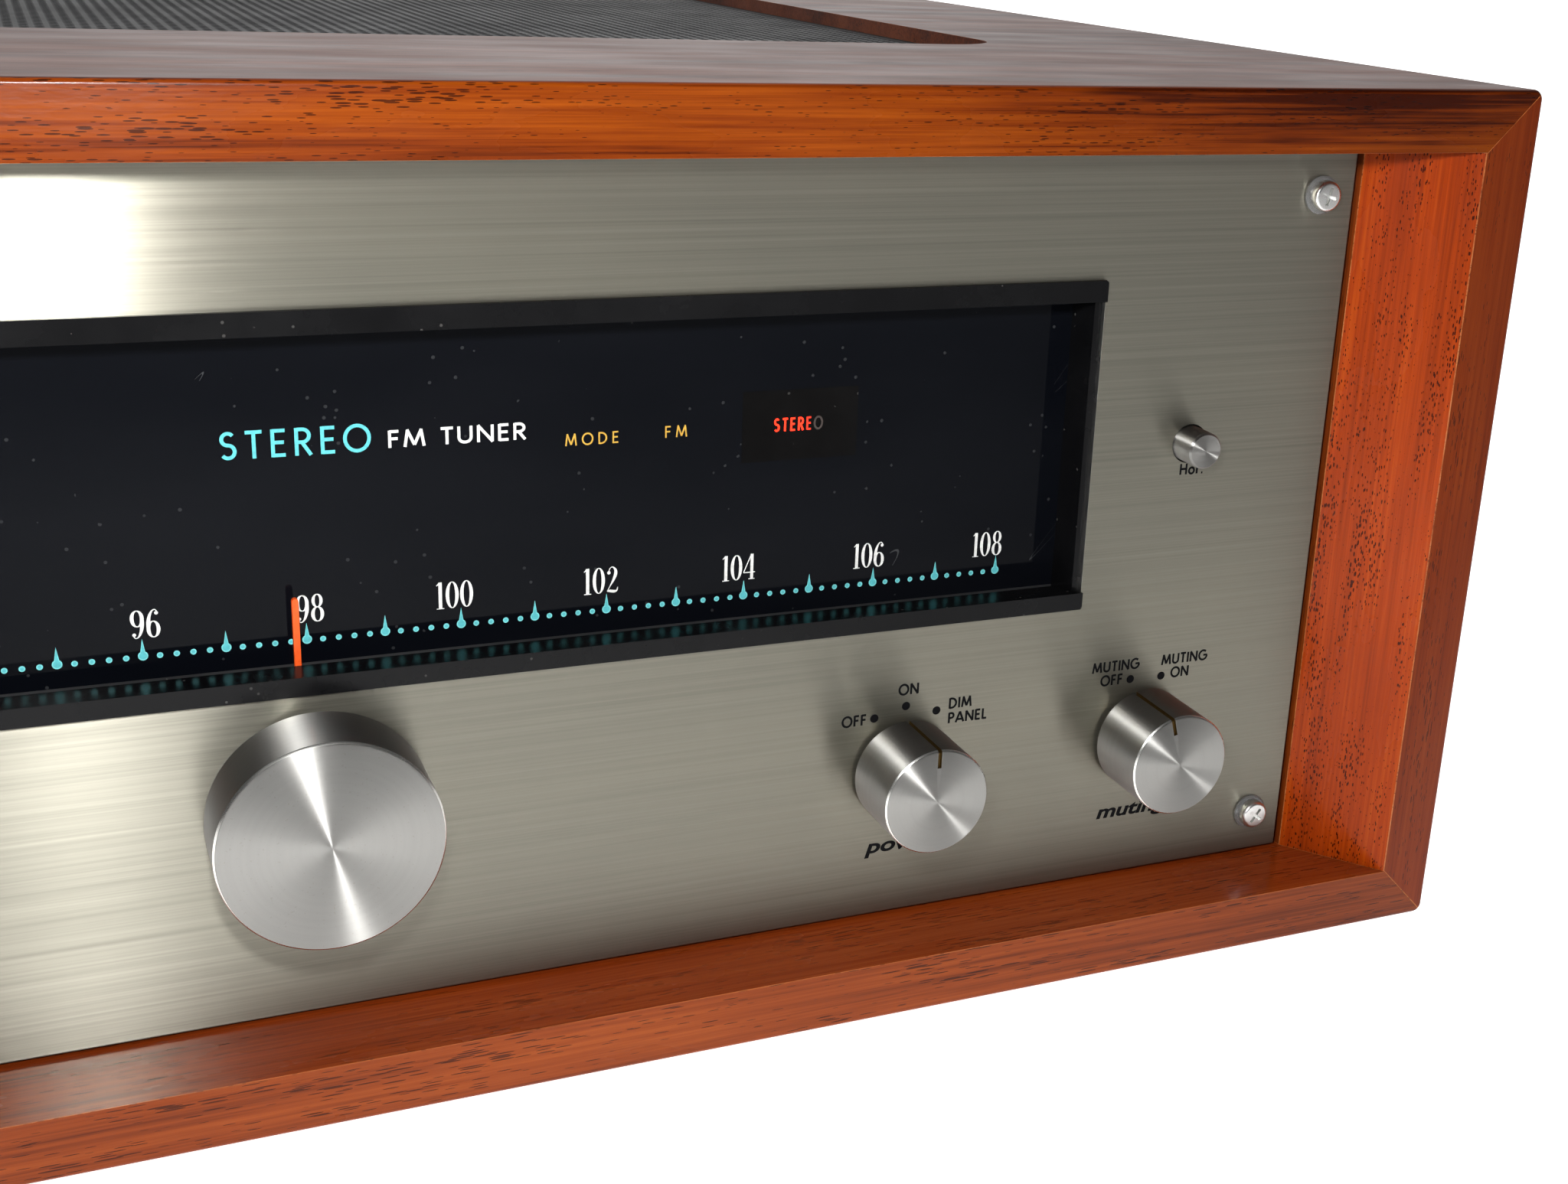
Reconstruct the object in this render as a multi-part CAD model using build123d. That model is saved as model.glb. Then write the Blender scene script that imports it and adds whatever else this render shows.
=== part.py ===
from build123d import *
import math
import os

# Stereo FM tuner in a walnut sleeve. Millimetres, +Z up, front towards -Y.
# Origin: centre of the footprint, on the surface that the feet stand on.
# Inside the sleeve, x is the row's X, p is depth behind the panel's front face,
# and z is height above the panel's bottom edge.

# --- overall sizes -----------------------------------------------------------
# The panel's width and height set the sleeve's; the depth is the sleeve's own.
panel_w = 390.5
panel_h = 146.0
panel_t = 4.8
cabinet_d = 390.0
board_t = 11.3
side_t = 25.5
stile_face_w = 11.5
panel_recess = 17.4
corner_round = 2.0
front_round = 0.9
foot_h = 6.0
foot_r = 9.0
foot_chamfer = 1.0
foot_web_over = 1.5
foot_inset = 35.0
rear_recess = 16.4

# --- clearances --------------------------------------------------------------
panel_gap = 0.5
panel_side_gap = 1.25
blade_gap = 0.4
run_fit = 0.05
free_gap = 0.3
cord_gap = 0.05

# --- sheet metal and fasteners -----------------------------------------------
sheet_t = 1.2
grille_t = 1.0
wood_screw_r = 1.5
wood_head_r = 3.4
wood_head_h = 1.6
wood_grip = 7.0
bolt_r = 2.5
bolt_head_r = 4.5
bolt_head_h = 3.0
bolt_inset = 40.0
panel_screw_r = 2.0
panel_head_r = 2.9
panel_head_h = 2.0
recess_w = 0.6
recess_d = 1.2
washer_r = 3.6
washer_t = 0.6

# --- vent opening in the top board -------------------------------------------
vent_w = 313.4
vent_front = 87.0
vent_back = 35.0
vent_corner_r = 15.0
vent_lip_t = 3.2
vent_grip = 2.4
grille_lap = 12.0

# --- dial window -------------------------------------------------------------
window_w = 285.6
window_low = 58.6
window_top_in = 24.1
bezel_proud = 0.8
bezel_side_t = 1.5
bezel_side_back = 1.0
bezel_top_h = 3.9
bezel_low_h = 3.3
ledge_back = 4.6
glass_gap = 2.8
glass_t = 3.0
glass_lap = 1.5
glass_inset_low = 2.0
glass_inset_high = 1.5
lamp_bay_h = 9.1
back_foot_w = 8.0

scope_x = -92.0
scope_drop = 23.9
scope_w = 62.0
scope_h = 32.0
tube_r = 35.5
tube_neck_r = 15.0
tube_len = 155.0
shield_t = 1.0
shield_len = 100.0

lens_x = 87.5
lens_drop = 25.8
lens_w = 22.2
lens_h = 13.1
lens_t = 2.0
lamp_box_depth = 11.0
lamp_r = 3.0
lamp_len = 22.0
lamp_pitch = 95.0

# --- tuning drive ------------------------------------------------------------
shaft_r = 3.17
tuning_z = 37.6
tuning_knob_r = 18.3
tuning_knob_len = 13.4
knob_lift = 1.0
knob_cap = 3.0
bushing_r = 4.75
bushing_proud = 0.5
nut_r = 7.0
nut_t = 2.0
back_nut_t = 1.5
flywheel_r = 24.0
flywheel_gap = 2.4
flywheel_t = 8.5
flywheel_rim = 5.0
flywheel_dish = 2.0

cord_behind_rail = 3.8
cord_r = 0.4
pulley_w = 3.2
flange_h = 1.5
drive_r = 7.0
drum_r = 20.0
drum_x = 47.0
drum_floor_gap = 2.5
end_pulley_r = 5.0
end_pulley_past = 4.2
end_pulley_drop = 4.7
guide_pulley_r = 4.0
guide_x = 16.0
guide_z = 40.5
guide_outer_x = 78.0
post_r = 2.0
post_head_r = 3.0
post_head_t = 0.8

tooth_module = 1.0
pinion_teeth = 16
gear_teeth = 68
tooth_thick = 1.2
tooth_tip = 0.8
tooth_root = 1.2
mesh_gap = 0.15
gear_gap = 1.5
gear_t = 3.0
hub_t = 2.0

rail_r = 1.2
rail_behind_blade = 2.0
rail_drop = 5.4
rail_past = 11.2
rail_end_t = 4.0
carriage_wall = 1.0
carriage_half = 5.5
carriage_half_h = 3.0
pointer_x = -1.4
pointer_w = 1.1
pointer_t = 1.0
pointer_high = 73.3

# --- chassis and what stands on it -------------------------------------------
sub_panel_gap = 1.0
sub_panel_low = 4.0
sub_panel_top_in = 6.0
chassis_in = 15.25
chassis_high = 46.0
flange_w = 14.0
bracket_out = 14.0
bracket_len = 110.0

rotor_r = 16.0
stator_gap = 2.4
plate_t = 0.6
plate_pitch = 4.0
plate_count = 12
frame_gap = 8.8
frame_half = 24.0
frame_over = 6.0
frame_t = 2.0

valve_r = 9.5
valve_len = 52.0
socket_r = 11.5
socket_lip = 2.0
socket_deep = 10.0
valve_spots = [
    (130, 70), (130, 110), (130, 150), (95, 70), (95, 110), (20, 150), (60, 150),
    (-40, 190), (0, 190), (40, 190), (-90, 220), (-130, 220), (-150, 180),
]
can_w = 20.0
can_h = 52.0
can_spots = [(165, 90), (165, 130), (95, 150), (80, 190), (-20, 150)]
filter_r = 17.0
filter_h = 72.0
filter_x = (-140, -95, -50)
filter_from_back = 56.2
transformer_x = 120.0
transformer_from_back = 71.2
transformer_w = 88.0
transformer_d = 58.0
transformer_h = 74.0
bell_d = 18.0

# --- panel controls ----------------------------------------------------------
control_z = 30.0
power_x = 107.1
muting_x = 159.0
knob_r = 10.27
knob_len = 14.4
groove_w = 1.2
groove_d = 0.7
switch_r = 13.5
switch_front = 16.0
switch_back = 30.0
switch_end_t = 2.0
trim_in = 31.25
trim_z = 89.8
trim_r = 3.5
trim_len = 5.75
trim_pin_r = 1.5
pot_r = 8.0
pot_len = 11.2
corner_screw_in = 7.55
corner_screw_low = 8.9
corner_screw_top_in = 9.4

# --- rear apron --------------------------------------------------------------
jack_x = (-160.0, -142.0, -124.0)
jack_z = (14.0, 32.0)
jack_r = 4.2
jack_flange_r = 6.0
jack_len = 10.0
terminal_x = 60.0
terminal_w = 64.0
terminal_h = 22.0
terminal_d = 8.0
rear_z = 23.0
fuse_x = 150.0
fuse_r = 7.0
fuse_len = 13.0
gland_x = 115.0
gland_r = 6.0
gland_bore_r = 3.5
level_x = -70.0
level_pitch = 36.0
level_knob_r = 6.0
level_knob_len = 10.0

# --- worked out --------------------------------------------------------------
opening_h = panel_h + 2 * panel_gap
cabinet_w = panel_w + 2 * (panel_side_gap + side_t)
half_w = cabinet_w / 2
half_d = cabinet_d / 2
cabinet_h = opening_h + 2 * board_t
cabinet_top_z = foot_h + cabinet_h
board_top_z = foot_h + board_t
grille_z = cabinet_top_z - vent_lip_t - grille_t
front_y = -half_d + panel_recess
base_z = board_top_z + panel_gap
inner_half = half_w - side_t
knob_back = -knob_lift

# Depths, one behind the other: blade, rail, cord, flywheel, gear, sub-panel, capacitor.
carriage_front = panel_t + blade_gap + pointer_t
rail_p = carriage_front + rail_behind_blade
cord_p = rail_p + cord_behind_rail
carriage_back = cord_p + cord_r + carriage_wall
pulley_front = cord_p - pulley_w / 2
pulley_back = cord_p + pulley_w / 2
flywheel_front = pulley_back + flywheel_gap
gear_front = flywheel_front + flywheel_t + gear_gap
sub_panel_front = gear_front + gear_t + hub_t + sub_panel_gap
sub_panel_back = sub_panel_front + sheet_t
frame_front = sub_panel_back + frame_gap
frame_back = frame_front + 2 * frame_t + plate_pitch * plate_count + 2
chassis_back = cabinet_d - panel_recess - rear_recess

# Window, glass and what shows through them.
window_high = panel_h - window_top_in
glass_front = carriage_front + glass_gap
glass_back = glass_front + glass_t
glass_half = window_w / 2 + glass_lap
glass_low = window_low + glass_inset_low
glass_high = window_high - glass_inset_high
back_high = window_high + lamp_bay_h
scope_z = window_high - scope_drop
lens_z = window_high - lens_drop

# Drive: the rail hangs under the window, the pulleys under the rail.
rail_z = window_low - rail_drop
rail_half = window_w / 2 + rail_past
carriage_low = rail_z - carriage_half_h
carriage_high = rail_z + carriage_half_h
end_pulley_x = window_w / 2 + end_pulley_past
end_pulley_z = rail_z - end_pulley_drop
drum_z = drum_r + flange_h + drum_floor_gap
rotor_z = drum_z + tooth_module * (pinion_teeth + gear_teeth) / 2 + mesh_gap

# Chassis and what fixes to the panel's ends.
chassis_half = panel_w / 2 - chassis_in
chassis_low = -panel_gap + sheet_t
sub_panel_high = panel_h - sub_panel_top_in
corner_screw_x = panel_w / 2 - corner_screw_in
corner_screw_high = panel_h - corner_screw_top_in
trim_x = panel_w / 2 - trim_in
filter_p = chassis_back - filter_from_back
transformer_p = chassis_back - transformer_from_back
low = (Align.CENTER, Align.CENTER, Align.MIN)


# --- shapes ------------------------------------------------------------------
def block(x0, x1, p0, p1, z0, z1):
    """Box between two corners, in panel terms."""
    box = Box(x1 - x0, p1 - p0, z1 - z0, align=(Align.MIN, Align.MIN, Align.MIN))
    return Pos(x0, front_y + p0, base_z + z0) * box


def rod(x, z, radius, p0, p1):
    """Round bar along Y."""
    bar = Cylinder(radius, p1 - p0, align=low)
    return Pos(x, front_y + p0, base_z + z) * Rot(-90, 0, 0) * bar


def ring(x, z, outer, inner, p0, p1):
    """Tube along Y."""
    return rod(x, z, outer, p0, p1) - rod(x, z, inner, p0, p1)


def pillar(x, p, radius, z0, z1):
    """Round bar along Z."""
    return Pos(x, front_y + p, base_z + z0) * Cylinder(radius, z1 - z0, align=low)


def bar_x(p, z, radius, x0, x1):
    """Round bar along X."""
    bar = Cylinder(radius, x1 - x0, align=low)
    return Pos(x0, front_y + p, base_z + z) * Rot(0, 90, 0) * bar


def prism(points, p0, p1):
    """Outline of (x, z) points, pushed from p0 back to p1."""
    corners = [(x, front_y + p0, base_z + z) for x, z in points]
    face = make_face(Polyline(*corners, close=True))
    return extrude(face, amount=p1 - p0, dir=(0, 1, 0))


def turned(x, z, profile):
    """Solid of revolution about Y from (p, radius) points."""
    corners = [(x + r, front_y + p, base_z + z) for p, r in profile]
    face = make_face(Polyline(*corners, close=True))
    axis = Axis((x, front_y, base_z + z), (0, 1, 0))
    return revolve(face, axis, 360)


def together(solids):
    """Separate solids as one group."""
    return Compound(children=[solid for item in solids for solid in item.solids()])


def save(name, shape):
    """Writes one sub-part."""
    export_step(shape, os.path.join("parts", name + ".step"))


def both(value):
    """The value and its mirror image."""
    return (-value, value)


def hex_nut(x, z):
    """Nut on the panel's face, over a control's bushing."""
    corners = [math.radians(60 * i) for i in range(6)]
    outline = [(x + nut_r * math.cos(a), z + nut_r * math.sin(a)) for a in corners]
    return prism(outline, -nut_t, 0)


# --- sleeve cabinet ----------------------------------------------------------
def cabinet_shell():
    """The whole sleeve, before it is parted at its mitres."""
    outer = Pos(0, 0, foot_h) * Box(cabinet_w, cabinet_d, cabinet_h, align=low)
    outer = fillet(outer.edges().filter_by(Axis.Y), corner_round)
    outer = fillet(outer.faces().sort_by(Axis.Y)[0].edges(), front_round)
    mouth_half = half_w - stile_face_w
    plan = [
        (-mouth_half, -half_d), (-inner_half, front_y), (-inner_half, half_d),
        (inner_half, half_d), (inner_half, front_y), (mouth_half, -half_d),
    ]
    corners = [(x, y, board_top_z) for x, y in plan]
    inside = extrude(make_face(Polyline(*corners, close=True)), amount=opening_h, dir=(0, 0, 1))
    return outer - inside


def mitre_prism(outer_z, inner_z):
    """A board's place between its 45 degree mitres."""
    corners = [
        (-half_w, -half_d, outer_z), (half_w, -half_d, outer_z),
        (half_w - board_t, -half_d, inner_z), (-half_w + board_t, -half_d, inner_z),
    ]
    return extrude(make_face(Polyline(*corners, close=True)), amount=cabinet_d, dir=(0, 1, 0))


def vent_cut():
    """The rounded opening in the top board, with a rebate under it for the grille."""
    depth = cabinet_d - vent_front - vent_back
    centre_y = (vent_front - vent_back) / 2
    outline = RectangleRounded(vent_w, depth, vent_corner_r)
    border = 2 * (grille_lap + free_gap)
    rebate = Box(vent_w + border, depth + border, board_t - vent_lip_t, align=low)
    return Pos(0, centre_y, cabinet_top_z - board_t) * (extrude(outline, amount=board_t) + rebate)


def grille_plate():
    """Flat grille that laps the opening from below, in its rebate."""
    depth = cabinet_d - vent_front - vent_back + 2 * grille_lap
    width = vent_w + 2 * grille_lap
    centre_y = (vent_front - vent_back) / 2
    plate = Box(width, depth, grille_t, align=low)
    return Pos(0, centre_y, grille_z) * plate


def grille_screw_spots():
    """Four screws along the front lap and four along the back."""
    front = -half_d + vent_front - grille_lap / 2
    back = half_d - vent_back + grille_lap / 2
    step = vent_w / 3
    return [(-vent_w / 2 + i * step, y) for y in (front, back) for i in range(4)]


def foot_spots():
    """Feet, in from each corner."""
    return [(x, y) for x in both(half_w - foot_inset) for y in both(half_d - foot_inset)]


def bolt_spots():
    """Bolts that hold the chassis to the bottom board, as (x, p)."""
    out = chassis_half - flange_w / 2
    return [(x, p) for x in both(out) for p in (sub_panel_back + bolt_inset, chassis_back - bolt_inset)]


def wood_screw(x, y, head_z, grip, bite):
    """Pan head below, shank upwards through grip and on by bite into the board."""
    head = Pos(x, y, head_z) * Cylinder(wood_head_r, wood_head_h, align=low)
    shank = Pos(x, y, head_z) * Cylinder(wood_screw_r, wood_head_h + grip + bite, align=low)
    slot = Box(2 * wood_head_r, recess_w, recess_w, align=low)
    return head + shank - Pos(x, y, head_z) * slot


def cabinet():
    """Four boards, feet, grille and their fasteners."""
    shell = cabinet_shell()
    top_place = mitre_prism(cabinet_top_z, cabinet_top_z - board_t)
    low_place = mitre_prism(foot_h, board_top_z)
    middle = shell - top_place - low_place
    top = (shell & top_place) - vent_cut()
    bottom = shell & low_place
    grille = grille_plate()

    screws = []
    for x, y in grille_screw_spots():
        hole = Pos(x, y, grille_z) * Cylinder(wood_screw_r, grille_t + vent_grip, align=low)
        top -= hole
        grille -= hole
        screws.append(wood_screw(x, y, grille_z - wood_head_h, grille_t, vent_grip))

    feet = []
    foot_web = foot_h - wood_head_h - foot_web_over
    for x, y in foot_spots():
        foot = Pos(x, y, 0) * Cylinder(foot_r, foot_h, align=low)
        foot = chamfer(foot.edges().sort_by(Axis.Z)[0], foot_chamfer)
        foot -= Pos(x, y, 0) * Cylinder(wood_head_r + free_gap, foot_h - foot_web, align=low)
        hole = Pos(x, y, 0) * Cylinder(wood_screw_r, foot_h + wood_grip, align=low)
        feet.append(foot - hole)
        bottom -= hole
        screws.append(wood_screw(x, y, foot_h - foot_web - wood_head_h, foot_web, wood_grip))

    bolts = []
    for x, p in bolt_spots():
        y = front_y + p
        head = Pos(x, y, foot_h - bolt_head_h) * Cylinder(bolt_head_r, bolt_head_h, align=low)
        reach = base_z + chassis_low + 2 * sheet_t - foot_h
        shank = Pos(x, y, foot_h) * Cylinder(bolt_r, reach, align=low)
        bolts.append(head + shank)
        bottom -= Pos(x, y, foot_h) * Cylinder(bolt_r, board_t, align=low)

    for solid in middle.solids():
        side = "right" if solid.center().X > 0 else "left"
        save("cabinet_" + side, solid)
    save("cabinet_top", top)
    save("cabinet_bottom", bottom)
    save("vent_grille", grille)
    save("wood_screws", together(screws))
    save("feet", together(feet))
    save("chassis_bolts", together(bolts))


# --- front panel and dial ----------------------------------------------------
def corner_spots():
    """Panel screws, one near each corner."""
    return [(x, z) for x in both(corner_screw_x) for z in (corner_screw_low, corner_screw_high)]


def front_panel():
    """Panel with its window, screw holes and control holes."""
    panel = block(-panel_w / 2, panel_w / 2, 0, panel_t, 0, panel_h)
    panel = chamfer(panel.faces().sort_by(Axis.Y)[0].edges(), 0.4)
    half = window_w / 2
    panel -= block(-half, half, 0, panel_t, window_low, window_high)
    for x, z in corner_spots():
        panel -= rod(x, z, panel_screw_r, 0, panel_t)
    for x in [0] + list(both(power_x)) + list(both(muting_x)):
        z = tuning_z if x == 0 else control_z
        panel -= rod(x, z, bushing_r, 0, panel_t)
    for x in both(trim_x):
        panel -= rod(x, trim_z, trim_r + free_gap, 0, panel_t)
    panel -= rod(drum_x, drum_z, trim_pin_r + run_fit, panel_t - 2, panel_t)
    save("front_panel", panel)


def panel_fasteners():
    """Cross-recess screws, each on a clear plastic washer."""
    screws = []
    washers = []
    for x, z in corner_spots():
        washers.append(ring(x, z, washer_r, panel_screw_r, -washer_t, 0))
        head = rod(x, z, panel_head_r, -washer_t - panel_head_h, -washer_t)
        head = fillet(head.edges().sort_by(Axis.Y)[0], panel_head_h * 0.6)
        shank = rod(x, z, panel_screw_r, -washer_t, panel_t + sheet_t + 2)
        front = -washer_t - panel_head_h
        arm = panel_head_r * 0.55
        wing = recess_w / 2
        flat = block(x - arm, x + arm, front, front + recess_d, z - wing, z + wing)
        upright = block(x - wing, x + wing, front, front + recess_d, z - arm, z + arm)
        screws.append(head + shank - flat - upright)
    save("panel_screws", together(screws))
    save("panel_washers", together(washers))


def side_brackets():
    """Steel angles from the panel's back to the chassis sides."""
    brackets = []
    for side in (-1, 1):
        inner = side * chassis_half
        web = sorted((inner, inner + side * sheet_t))
        flange = sorted((inner, inner + side * bracket_out))
        angle = block(*web, panel_t, panel_t + bracket_len, 4, chassis_high - 4)
        angle += block(*flange, panel_t, panel_t + sheet_t, 2, panel_h - 2)
        angle += block(*web, panel_t, sub_panel_back, 4, sub_panel_high)
        for z in (corner_screw_low, corner_screw_high):
            angle -= rod(side * corner_screw_x, z, panel_screw_r, panel_t, panel_t + sheet_t)
        brackets.append(angle)
    save("side_brackets", together(brackets))


def dial_bezel():
    """Black frame in the window: two bars and two side walls."""
    half = window_w / 2
    top = block(-half, half, -bezel_proud, glass_front, window_high - bezel_top_h, window_high)
    ledge = block(-half, half, -bezel_proud, ledge_back, window_low, window_low + bezel_low_h)
    bezel = top + ledge
    for side in (-1, 1):
        wall = sorted((side * half, side * (half - bezel_side_t)))
        bezel += block(*wall, bezel_side_back, glass_front, window_low, window_high)
    corners = bezel.edges().filter_by(Axis.Y).group_by(Axis.Z)
    bezel = fillet(corners[-1] + corners[0], 0.5)
    save("dial_bezel", bezel)


def dial_glass():
    """Printed glass that fills the window."""
    save("dial_glass", block(-glass_half, glass_half, glass_front, glass_back, glass_low, glass_high))


def lamp_spots():
    """Lamps in a row over the glass, as (x, p, z)."""
    lamp_z = (glass_high + back_high) / 2 + 1
    return [(i * lamp_pitch, glass_back - lamp_r, lamp_z) for i in (-1, 0, 1)]


def dial_back():
    """Black plate behind the glass: window, lens opening, lamp clips and feet."""
    plate_back = glass_back + sheet_t
    plate = block(-glass_half, glass_half, glass_back, plate_back, glass_low, back_high)
    lip_half = glass_half + sheet_t
    plate += block(-lip_half, lip_half, glass_front, plate_back, glass_low - sheet_t, glass_low)
    for side in (-1, 1):
        wall = sorted((side * glass_half, side * (glass_half + sheet_t)))
        foot = sorted((side * glass_half, side * (glass_half + back_foot_w)))
        plate += block(*wall, panel_t, plate_back, glass_low, glass_high)
        plate += block(*foot, panel_t, panel_t + sheet_t, glass_low, glass_high)
    for x, p, z in lamp_spots():
        for end in both(lamp_len / 2):
            clip = sorted((x + end, x + end * (1 + 2 * sheet_t / lamp_len)))
            plate += block(*clip, p - lamp_r, glass_back, z - 2, z + 2)
    wall = sheet_t
    half_lens = lens_w / 2
    box_back = plate_back + lamp_box_depth
    low_z = lens_z - lens_h / 2
    high_z = lens_z + lens_h / 2
    plate += block(
        lens_x - half_lens - wall, lens_x + half_lens + wall, plate_back, box_back,
        low_z - wall, high_z + wall,
    )
    plate -= block(lens_x - half_lens, lens_x + half_lens, glass_back, box_back, low_z, high_z)
    plate -= block(
        scope_x - scope_w / 2, scope_x + scope_w / 2, glass_back, plate_back,
        scope_z - scope_h / 2, scope_z + scope_h / 2,
    )
    save("dial_back", plate)


def stereo_lens():
    """Red window of the stereo indicator."""
    half = lens_w / 2
    back = glass_back + lens_t
    save("stereo_lens", block(
        lens_x - half, lens_x + half, glass_back, back, lens_z - lens_h / 2, lens_z + lens_h / 2,
    ))


def dial_lamps():
    """Tubular lamps over the glass and one behind the stereo window."""
    lamps = [
        bar_x(p, z, lamp_r, x - lamp_len / 2, x + lamp_len / 2) for x, p, z in lamp_spots()
    ]
    half = lens_w / 2
    depth = glass_back + lens_t + lamp_r + 2
    lamps.append(bar_x(depth, lens_z, lamp_r, lens_x - half, lens_x + half))
    save("dial_lamps", together(lamps))


def display_tube():
    """Oscilloscope tube behind the dial, with its base, and its round shield."""
    face = glass_back + sheet_t
    bulb_back = face + tube_len * 0.35
    neck_front = face + tube_len * 0.6
    base_front = face + tube_len * 0.9
    tube_end = face + tube_len
    base_r = tube_neck_r + 2
    tube = turned(scope_x, scope_z, [
        (face, 0), (face, tube_r - 2), (face + 2, tube_r), (bulb_back, tube_r),
        (neck_front, tube_neck_r), (base_front, tube_neck_r), (base_front, base_r),
        (tube_end, base_r), (tube_end, 0),
    ])
    save("display_tube", tube)
    start = face + 6
    shield = ring(scope_x, scope_z, tube_r + shield_t, tube_r, start, start + shield_len)
    save("tube_shield", shield)


# --- tuning drive ------------------------------------------------------------
def grooved(x, z, groove, rim, p0, p1):
    """Wheel with a square groove for the cord."""
    wheel = rod(x, z, rim, p0, p1)
    lip = (p1 - p0 - 3 * cord_r) / 2
    return wheel - ring(x, z, rim, groove, p0 + lip, p1 - lip)


def toothed(x, z, teeth, phase_deg, p0, p1):
    """Spur wheel with straight-sided teeth."""
    pitch_r = tooth_module * teeth / 2
    slope = math.tan(math.radians(20))
    root_r = pitch_r - tooth_root * tooth_module
    tip_r = pitch_r + tooth_tip * tooth_module
    root_half = tooth_thick / 2 + slope * tooth_root * tooth_module
    tip_half = tooth_thick / 2 - slope * tooth_tip * tooth_module
    outline = []
    for i in range(teeth):
        mid = math.radians(phase_deg + 360 * i / teeth)
        for radius, across in (
            (root_r, -root_half), (tip_r, -tip_half), (tip_r, tip_half), (root_r, root_half),
        ):
            angle = mid + across / radius
            outline.append((x + radius * math.cos(angle), z + radius * math.sin(angle)))
    return prism(outline, p0, p1)


def tuning_knob():
    """Large spun knob, hollow behind to clear the bushing's nut."""
    front = knob_back - tuning_knob_len
    knob = rod(0, tuning_z, tuning_knob_r, front, knob_back)
    knob = chamfer(knob.edges().sort_by(Axis.Y)[0], 0.6)
    knob -= rod(0, tuning_z, nut_r + 2, knob_back - nut_t - 1, knob_back)
    knob -= rod(0, tuning_z, shaft_r, front + knob_cap, knob_back)
    save("tuning_knob", knob)


def tuning_shaft():
    """Shaft with the drive pulley turned on it, and its flywheel and bushing."""
    front = knob_back - tuning_knob_len + knob_cap
    shaft = rod(0, tuning_z, shaft_r, front, sub_panel_back)
    shaft += grooved(0, tuning_z, drive_r, drive_r + flange_h, pulley_front, pulley_back)
    save("tuning_shaft", shaft)

    wheel = ring(0, tuning_z, flywheel_r, shaft_r, flywheel_front, flywheel_front + flywheel_t)
    dish = ring(
        0, tuning_z, flywheel_r - flywheel_rim, shaft_r + flywheel_rim,
        flywheel_front, flywheel_front + flywheel_dish,
    )
    save("flywheel", wheel - dish)

    sleeve = rod(0, tuning_z, bushing_r, -nut_t - bushing_proud, pulley_front - 2 * free_gap)
    sleeve += rod(0, tuning_z, nut_r, panel_t, panel_t + back_nut_t)
    sleeve += hex_nut(0, tuning_z)
    sleeve -= rod(0, tuning_z, shaft_r + run_fit, -nut_t - bushing_proud, pulley_front)
    save("tuning_bushing", sleeve)


def cord_drum():
    """Cord drum, its spindle and the pinion cut on it."""
    drum = grooved(drum_x, drum_z, drum_r, drum_r + flange_h, pulley_front, pulley_back)
    for i in range(6):
        angle = math.radians(60 * i)
        reach = drum_r * 0.6
        x = drum_x + reach * math.cos(angle)
        z = drum_z + reach * math.sin(angle)
        drum -= rod(x, z, drum_r * 0.2, pulley_front, pulley_back)
    drum += rod(drum_x, drum_z, trim_pin_r, panel_t - 1.8, pulley_back)
    drum += rod(drum_x, drum_z, shaft_r, pulley_back, sub_panel_back)
    drum += toothed(drum_x, drum_z, pinion_teeth, 90, gear_front - 0.5, gear_front + gear_t + 0.5)
    save("cord_drum", drum)


def rotor_gear():
    """Large gear on the tuning capacitor's shaft, with lightening holes."""
    half_tooth = 180 / gear_teeth
    gear_back = gear_front + gear_t
    gear = toothed(drum_x, rotor_z, gear_teeth, -90 + half_tooth, gear_front, gear_back)
    pitch_r = tooth_module * gear_teeth / 2
    for i in range(5):
        angle = math.radians(72 * i + 90)
        x = drum_x + pitch_r * 0.58 * math.cos(angle)
        z = rotor_z + pitch_r * 0.58 * math.sin(angle)
        gear -= rod(x, z, pitch_r * 0.2, gear_front, gear_back)
    gear += rod(drum_x, rotor_z, shaft_r + 3, gear_back, gear_back + hub_t)
    gear -= rod(drum_x, rotor_z, shaft_r, gear_front, gear_back + hub_t)
    save("rotor_gear", gear)


def half_disc(outer, inner, p0):
    """Capacitor plate: the upper half of a washer round the rotor's axis."""
    lower = block(drum_x - outer, drum_x + outer, p0, p0 + plate_t, rotor_z - outer, rotor_z)
    return ring(drum_x, rotor_z, outer, inner, p0, p0 + plate_t) - lower


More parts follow.
